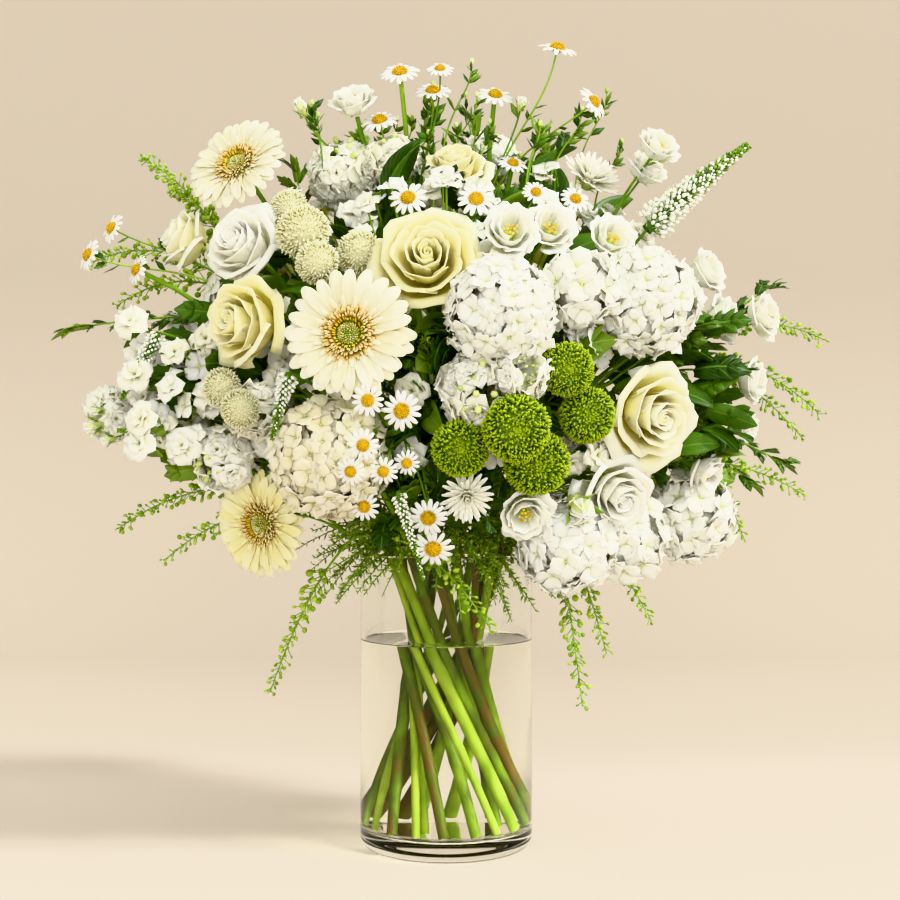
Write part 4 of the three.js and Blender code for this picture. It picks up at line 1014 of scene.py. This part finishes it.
SPRIGS = {
    "leaves_left": [(-120, 22, 352), [((-160, 20, 372), (-276, -6, 358), 9),
                                      ((-150, 16, 390), (-232, 30, 352), 8),
                                      ((-96, 20, 400), (-108, 10, 486), 12)]],
    "leaves_top": [(4, 4, 420), [((14, -6, 440), (22, -16, 510), 11), ((40, 4, 446), (96, 4, 502), 12),
                                 ((-30, 30, 440), (-66, 40, 506), 11), ((30, 60, 420), (44, 96, 478), 12)]],
    "leaves_right": [(132, 6, 318), [((160, 4, 340), (238, 8, 398), 13), ((160, -30, 338), (206, -52, 326), 13),
                                     ((172, 8, 296), (246, -4, 262), 12), ((160, 30, 290), (230, 34, 246), 11),
                                     ((150, 0, 278), (200, -34, 282), 9)]],
    "leaves_back": [(0, 62, 300), [((0, 96, 290), (-10, 168, 252), 14), ((-60, 90, 330), (-112, 136, 344), 13),
                                   ((60, 90, 350), (110, 132, 372), 13), ((80, 80, 260), (130, 132, 232), 12)]],
}


def veronica(bunch, luck, joint, spike):
    """A spike of tight buds: white and open low down, small and green at its tip."""
    base, tip, radius = Vector(spike[0]), Vector(spike[1]), spike[2]
    length = (tip - base).length
    line = arc(base * MM, tip * MM, Vector((0, 0, length * 0.04)) * MM, 24)
    bunch.strand(line, [radius * MM * (0.30 - 0.16 * k / 24) for k in range(25)], "spike", 0.2)
    along = (tip - base).normalized()
    inside = HUB.lerp(base, 0.7)
    branch = arc(inside * MM, base * MM, -along * (base - inside).length * 0.15 * MM, 8)
    bunch.strand(branch, [1.0 * MM] * 9, "spike")
    count = int(length * radius * 0.40) + 50
    for k in range(count):
        t = ((k + 0.5) / count) ** 0.92
        place, way = on_line(line, t)
        reach = radius * (1 - t * 0.76) * luck.uniform(0.62, 1.0) * MM
        out = place + (upright(way, k * GOLDEN) @ turned(1.25 - 0.5 * t, "X") @ Vector((0, 0, reach)))
        white = luck.random() < 1.35 - 1.4 * t
        size = (0.58 + 0.045 * radius) * (1.15 - 0.55 * t) * luck.uniform(0.75, 1.2) * MM
        grain = Matrix.Translation(out) @ upright((out - place).normalized()) @ sized(size, size, size * 1.35)
        bunch.seed(grain @ shift(0, 0, -1), "veronica" if white else "tip", luck.random())
        if k % 3 == 0:
            bunch.strand([place, out], [0.4 * MM, 0.3 * MM], "spike")
    for k in range(int(radius * 9)):
        t = luck.uniform(0.0, 0.5)
        step = int(t * 24)
        side = upright((line[step + 1] - line[step]).normalized(), luck.uniform(0, 6.3))
        hair = side @ turned(luck.uniform(0.9, 1.4), "X")
        end = line[step] + (hair @ Vector((0, 0, radius * luck.uniform(0.95, 1.2) * (1 - t * 0.7) * MM)))
        bunch.strand([line[step], end], [0.16 * MM, 0.12 * MM], "veronica")


def penny_cress(bunch, luck, joint, tip):
    """A thin stem with round flat pods on stalks all along its outer half."""
    tip = Vector(tip)
    bend = joint.lerp(tip, 0.5) + Vector((0, 0, 12 + 0.28 * math.hypot(tip.x - joint.x, tip.y - joint.y)))
    line = arc(joint * MM, tip * MM, (bend - (joint + tip) / 2) * MM, 30)
    bunch.strand(line, taper(1.0, 0.6, 30), "pod", 0.2)
    count = int((tip - joint).length * 0.52)
    for k in range(count):
        t = 0.3 + 0.7 * (k + luck.uniform(0.1, 0.9)) / count
        start, way = on_line(line, t)
        turn = upright(way, k * 2.4 + luck.uniform(-0.7, 0.7)) @ turned(luck.uniform(0.6, 1.15), "X")
        stalk = (10.5 - 7.0 * t) * luck.uniform(0.5, 1.35) * MM
        end = start + (turn @ Vector((0, 0, stalk)))
        bunch.strand([start, end], [0.34 * MM, 0.3 * MM], "pod", 0.2)
        size = (2.9 - 1.5 * t) * luck.uniform(0.6, 1.25) * MM
        pod = Matrix.Translation(end) @ upright((end - start).normalized(), luck.uniform(0, 3))
        bunch.seed(pod @ sized(size, size * 0.55, size * 0.95), "pod", luck.random())
        if luck.random() < 0.45:
            across = pod @ turned(luck.uniform(1.2, 2.0), "Y") @ sized(size * 0.8, size * 0.4, size * 0.8)
            bunch.seed(across, "pod", luck.random())


# A leaf's side lobes: place along it, length and angle, as shares of its length.
LEAF_LOBES = [(0.22, 0.34, 0.95), (0.42, 0.40, 0.80), (0.62, 0.32, 0.65)]


def lobed_leaf(bunch, spot, finish, luck, pairs=2):
    """A leaf cut into pointed lobes, as of a chrysanthemum; spot lays it along +Y."""
    tint = luck.random()
    bunch.add(luck.choice(SHAPES["lobe"]), spot, finish, tint)
    for place, size, angle in LEAF_LOBES[3 - pairs:]:
        for side in (-1, 1):
            lean = side * (angle + luck.uniform(-0.12, 0.12))
            turn = shift(0, place + luck.uniform(-0.03, 0.03), 0.03) @ turned(-lean, "Z")
            turn = turn @ turned(luck.uniform(-0.15, 0.25), "X") @ sized(size * luck.uniform(0.85, 1.15))
            bunch.add(luck.choice(SHAPES["lobe"]), spot @ turn, finish, tint)


def leafy(bunch, luck, joint, sprig):
    """A sprig: a stem that carries narrow lobed leaves on both sides to its end."""
    start, end, width = Vector(sprig[0]), Vector(sprig[1]), sprig[2]
    length = (end - start).length
    bunch.strand(arc(joint * MM, start * MM, Vector((0, 0, 0.003)), 6), [1.2 * MM] * 7, "twig")
    line = arc(start * MM, end * MM, Vector((0, 0, length * 0.06 * MM)), 20)
    bunch.strand(line[:19], taper(1.2, 0.7, 18), "twig", 0.6)
    count = max(5, int(length / 9))
    for k in range(count):
        t = 0.04 + 0.90 * k / count
        place, way = on_line(line, t)
        flat = way.cross(Vector((0, -0.5, 1)).normalized()).normalized() * (1 if k % 2 else -1)
        reach = width * luck.uniform(1.5, 2.1) * (1.1 - 0.55 * t) * MM
        tip = place + (way * 0.8 + flat * 0.75 + Vector((0, 0, luck.uniform(-0.2, 0.2)))) * reach
        spot = aimed(place, tip, luck.uniform(-0.5, 0.5))
        lobed_leaf(bunch, spot, luck.choice(("leaf", "leaf", "young_leaf")), luck)
    lobed_leaf(bunch, aimed(line[15], end * MM, luck.uniform(-0.4, 0.4)), "young_leaf", luck)


def build_sprays():
    """All sprays and sprigs; gives back where each one's own stem has to arrive."""
    ends = []
    for kind, maker, table in (("veronica", veronica, VERONICA), ("penny_cress", penny_cress, PENNY_CRESS),
                               ("sprigs", leafy, SPRIGS)):
        for index, (name, (joint, rows)) in enumerate(table.items()):
            bunch, luck, joint = Bunch(), random.Random(SEEDS[kind] + index), Vector(joint)
            for row in rows:
                maker(bunch, luck, joint, row)
            knob = Matrix.Translation(joint * MM) @ sized(KNOB * 0.7 * MM) @ shift(0, 0, -1)
            bunch.seed(knob, "twig")
            bunch.make(name + "_spray", name)
            arriving = (joint - HUB).normalized()
            ends.append((joint - arriving * KNOB * 0.9, arriving))
    return ends


# ------------------------------------------------------------- glass and water
def spun(name, profile):
    """Spins a profile of (radius, height) points round the axis into a closed body."""
    mesh = bpy.data.meshes.new(name)
    points = [(x * MM, 0, z * MM) for x, z in profile]
    mesh.from_pydata(points, [(k, k + 1) for k in range(len(points) - 1)], [])
    body = place_new(name, mesh)
    pick(body)
    bpy.ops.object.mode_set(mode="EDIT")
    bpy.ops.mesh.select_all(action="SELECT")
    bpy.ops.mesh.spin(steps=128, angle=math.tau, center=(0, 0, 0), axis=(0, 0, 1))
    bpy.ops.mesh.select_all(action="SELECT")
    bpy.ops.mesh.remove_doubles(threshold=1e-6)
    bpy.ops.mesh.normals_make_consistent(inside=False)
    bpy.ops.object.mode_set(mode="OBJECT")
    bpy.ops.object.shade_smooth_by_angle(angle=math.radians(28))
    return body


def curved(middle_x, middle_z, radius, start, end, steps):
    angles = [start + (end - start) * k / steps for k in range(steps + 1)]
    return [(middle_x + radius * math.cos(angle), middle_z + radius * math.sin(angle)) for angle in angles]


def build_vase():
    wide, floor, height, corner = VASE["radius"], VASE["floor"], VASE["height"], VASE["corner"]
    inner, lip, inner_corner = wide - VASE["wall"], VASE["wall"] / 2, 6
    profile = [(0, 0.6), (wide - corner - 8, 0.6), (wide - corner - 5, 0)]
    profile += curved(wide - corner, corner, corner, -math.pi / 2, 0, 12)
    profile += [(wide, corner + 1), (wide, corner + 60), (wide, height - 60), (wide, height - lip - 1)]
    profile += curved(wide - lip, height - lip, lip, 0, math.pi, 10)
    profile += [(inner, height - lip - 1), (inner, height - 60), (inner, floor + 60), (inner, floor + 7)]
    profile += curved(inner - inner_corner, floor + inner_corner, inner_corner, 0, -math.pi / 2, 8)
    profile.append((0, floor - 0.4))
    dress(spun("glass_cylinder", profile), ["glass"], "vase")


def build_water():
    """The water reaches a little into the glass, so that no film of air shows."""
    wide, floor, level = VASE["radius"] - VASE["wall"] + 0.15, VASE["floor"], WATER_LEVEL
    profile = [(0, floor - 0.2)]
    profile += curved(wide - 6, floor + 6, 6.1, -math.pi / 2, 0, 8)
    profile += [(wide, floor + 8), (wide, 70), (wide, level), (wide, level + 1.2), (wide - 0.6, level + 0.7),
                (wide - 2.2, level + 0.2), (wide - 5, level), (0, level)]
    dress(spun("clear_water", profile), ["water"], "water")


# ---------------------------------------------------------- filling of the dome
def dome_point(luck, lowest, highest, depth):
    """A place at a depth in the dome, and the way out from there."""
    z = luck.uniform(lowest, highest)
    turn = luck.uniform(0, math.tau)
    flat = math.sqrt(1 - z * z)
    way = Vector((flat * math.cos(turn), flat * math.sin(turn), z))
    return CROWN_CENTRE + Vector([way[i] * CROWN_HALF[i] * depth for i in range(3)]), way


def clear_of_heads(place, room):
    """True where a small flower would stand beside the heads and not in them."""
    return all((place - Vector(row[:3])).length >= row[3] * 0.95 + room
               for bunches in HEADS.values() for rows in bunches.values() for row in rows)


def build_filling_leaves():
    """Leaves that close the dome: all over it, then at the front and at the sides."""
    bunch, luck = Bunch(), random.Random(SEEDS["filling_leaves"])
    for k in range(FILLING["leaves"]):
        start, way = dome_point(luck, -0.7, 0.95, luck.uniform(0.5, 0.78))
        if k >= FILLING["dome_leaves"]:
            start = within(luck, (-50, 60), (-96, -50), (228, 372))
            way = Vector((start.x * 0.01, -1, 0.1))
        if k >= FILLING["front_leaves"]:
            side = -1 if k % 2 else 1
            start = Vector((side * luck.uniform(118, 178), luck.uniform(-50, 30), luck.uniform(262, 372)))
            way = Vector((side, -0.4, 0.1))
        lean = (way + jitter(luck, 0.6, 0.6, 0.5)).normalized()
        end = start + lean * luck.uniform(28, 54 if k < FILLING["dome_leaves"] else 40)
        if not clear_of_heads(end, 5):
            continue
        finish = "leaf" if luck.random() < 0.65 else "young_leaf"
        spot = aimed(start * MM, end * MM, luck.uniform(-1.4, 1.4))
        if k % 3:
            lobed_leaf(bunch, spot, finish, luck, 3 if k % 3 == 1 else 2)
        else:
            bunch.add(luck.choice(SHAPES["plain_leaf"]), spot, finish, luck.random())
        if k % 2:
            root = HUB.lerp(start, 0.5)
            bunch.strand(arc(root * MM, start * MM, Vector((0, 0, 0.004)), 4), [0.9 * MM] * 5, "twig")
    bunch.make("filling_leaves", "leaves_top", False)


def build_blossoms():
    """Small white florets that fill the dome between the large heads."""
    bunch, luck, made = Bunch(), random.Random(SEEDS["blossoms"]), 0
    while made < FILLING["blossoms"]:
        place, way = dome_point(luck, -0.66, 0.93, luck.uniform(0.76, 0.95))
        if made < FILLING["left_blossoms"]:
            place = within(luck, (-212, -100), (-84, -20), (276, 362))
            way = Vector((-0.5, -1, 0.3)).normalized()
        dark = abs(place.x - 2) < 42 and place.y < 0 and place.z < 350
        if dark and luck.random() < 0.85 or not clear_of_heads(place, 3):
            continue
        made += 1
        lean = way + Vector((luck.uniform(-0.4, 0.4), luck.uniform(-0.4, 0.4) - (0.3 if place.y < 20 else 0),
                             luck.uniform(-0.2, 0.4)))
        spot = Matrix.Translation(place * MM) @ upright(lean.normalized(), luck.uniform(0, 6))
        spot = spot @ sized(luck.uniform(9, 12.5) * MM)
        if luck.random() < 0.7:
            stock_floret(bunch, spot, luck, 1, PLAIN)
        else:
            four_petals(bunch, spot, luck, 0.9, "hydrangea")
        root = place + Vector((10, 24, -8))
        if made > FILLING["left_blossoms"]:
            root = HUB.lerp(place, 0.6)
        bunch.strand(arc(root * MM, place * MM, Vector((0, 0, 0.004)), 4), [0.7 * MM] * 5, "twig", 0.7)
    bunch.make("filling_blossoms", "stock_crown", False)


def feather(bunch, start, end, luck, leaves, size):
    """A feathery spray: fine leaflets all round a thin drooping stem."""
    line = arc(start * MM, end * MM, Vector((0, 0, 0.010)), 14)
    bunch.strand(line, taper(0.7, 0.4, 14), "feather", 0.3)
    for j in range(leaves):
        t = 0.12 + 0.88 * j / leaves
        place, way = on_line(line, t)
        turn = upright(way, j * GOLDEN) @ turned(luck.uniform(0.7, 1.2), "X")
        tip = place + (turn @ Vector((0, 0, size * luck.uniform(0.6, 1.2) * (1.15 - t * 0.6) * MM)))
        bunch.add(SHAPES["needle"][0], aimed(place, tip, luck.uniform(0, 3)), "feather", luck.random())
        if j % 8 == 0:
            bunch.seed(Matrix.Translation(tip) @ sized(luck.uniform(0.5, 1.0) * MM), "bud", luck.random())


def build_feathers():
    """Feathery green at the rim of the vase and in the dome, and twigs with buds on top."""
    bunch, luck = Bunch(), random.Random(SEEDS["feathers"])
    for k in range(FILLING["rim_feathers"]):
        turn = luck.uniform(0, math.tau)
        start = Vector((36 * math.cos(turn), 36 * math.sin(turn), luck.uniform(210, 232)))
        reach = luck.uniform(28, 70)
        end = start + Vector((math.cos(turn) * reach, math.sin(turn) * reach, luck.uniform(-52, 22)))
        feather(bunch, start, end, luck, 36, 6.8)
    for k in range(FILLING["dome_feathers"]):
        start, way = dome_point(luck, -0.5, 0.95, luck.uniform(0.6, 0.75))
        feather(bunch, start, start + (way + Vector((0, 0, 0.3))) * luck.uniform(26, 44), luck, 26, 6.2)
    for k in range(FILLING["top_twigs"]):
        start = within(luck, (-90, 120), (-60, 50), (440, 468))
        seat = start + within(luck, (-22, 30), (-16, 14), (34, 74))
        side_stem(bunch, start, seat, UP, luck, 0.6, 12)
        bunch.seed(Matrix.Translation(seat * MM) @ sized(1.7 * MM, 1.7 * MM, 2.3 * MM), "bud", luck.random())
    bunch.make("feathery_green", "leaves_top", False)


# ------------------------------------------------------------ studio and camera
def build_backdrop():
    """A sheet of paper that lies under the vase and curves up behind it, in metres."""
    front, back, bend, top, half = -2.2, 0.42, 0.5, 3.5, 4
    profile = [(front, 0.0), (back, 0.0)]
    profile += [(back + bend * math.sin(k / 12 * math.pi / 2), bend * (1 - math.cos(k / 12 * math.pi / 2)))
                for k in range(1, 13)]
    profile.append((back + bend, top))
    points = [(x, y, z) for y, z in profile for x in (-half, half)]
    faces = [(2 * k, 2 * k + 1, 2 * k + 3, 2 * k + 2) for k in range(len(profile) - 1)]
    mesh = bpy.data.meshes.new("paper_sweep")
    mesh.from_pydata(points, [], faces)
    mesh.polygons.foreach_set("use_smooth", [True] * len(faces))
    sweep = place_new("paper_sweep", mesh)
    # Matt beige paper. Its colour darkens up the wall as painted shade, since the wall gets less light than the
    # floor.
    material, tree = blank("beige_paper")
    place = node(tree, "SeparateXYZ", {"Vector": node(tree, "TexCoord").outputs["Object"]}).outputs["Y"]
    rise = node(tree, "MapRange", {"Value": place, "From Min": 0.22, "From Max": 0.64})
    colour = node(tree, "ValToRGB", {"Fac": rise}, [(0.0, "#d3c9be"), (1.0, "#aba194")])
    body = node(tree, "BsdfPrincipled", {"Base Color": colour, "Roughness": 0.8, "Specular IOR Level": 0.2})
    # From behind, the paper lets the view through to the back of the bouquet.
    side = node(tree, "NewGeometry").outputs["Backfacing"]
    both = node(tree, "MixShader", {"Fac": side, 1: body, 2: node(tree, "BsdfTransparent")})
    node(tree, "OutputMaterial", {"Surface": both})
    mesh.materials.append(material)


def shine(name, kind, back, power, place=(0, 0, 0)):
    """Light from a place; back points from what it lights to where it comes from."""
    lamp = place_new(name, bpy.data.lights.new(name, kind))
    lamp.data.energy = power
    lamp.data.color = linear("#fffef8")[:3]
    lamp.location = place
    lamp.rotation_euler = (-Vector(back)).to_track_quat("-Z", "Y").to_euler()
    return lamp


def build_studio():
    build_backdrop()
    shine("window", "SUN", (0.70, -0.36, 0.62), SUN_STRENGTH).data.angle = math.radians(SUN_SPREAD)
    front = shine("front", "AREA", (0.3, -2.6, 0.9), FRONT_WATTS, (0.3, -2.6, 1.2))
    front.data.shape = "RECTANGLE"
    front.data.size, front.data.size_y = 2.4, 1.6
    front.visible_glossy = False  # its mirror image would veil the stems in the glass
    world = bpy.data.worlds.new("studio")
    world.use_nodes = True
    back = world.node_tree.nodes["Background"]
    back.inputs["Color"].default_value = linear("#fffef6")
    back.inputs["Strength"].default_value = WORLD_STRENGTH
    camera = bpy.data.cameras.new("photograph")
    camera.lens = LENS
    view = place_new("photograph", camera)
    view.location = EYE
    view.rotation_euler = (math.pi / 2, 0, 0)
    scene = bpy.context.scene
    scene.world = world
    scene.camera = view
    scene.view_settings.view_transform = "Khronos PBR Neutral"


build_studio()
build_vase()
build_water()
build_stems(build_heads() + build_sprays())
build_filling_leaves()
build_blossoms()
build_feathers()
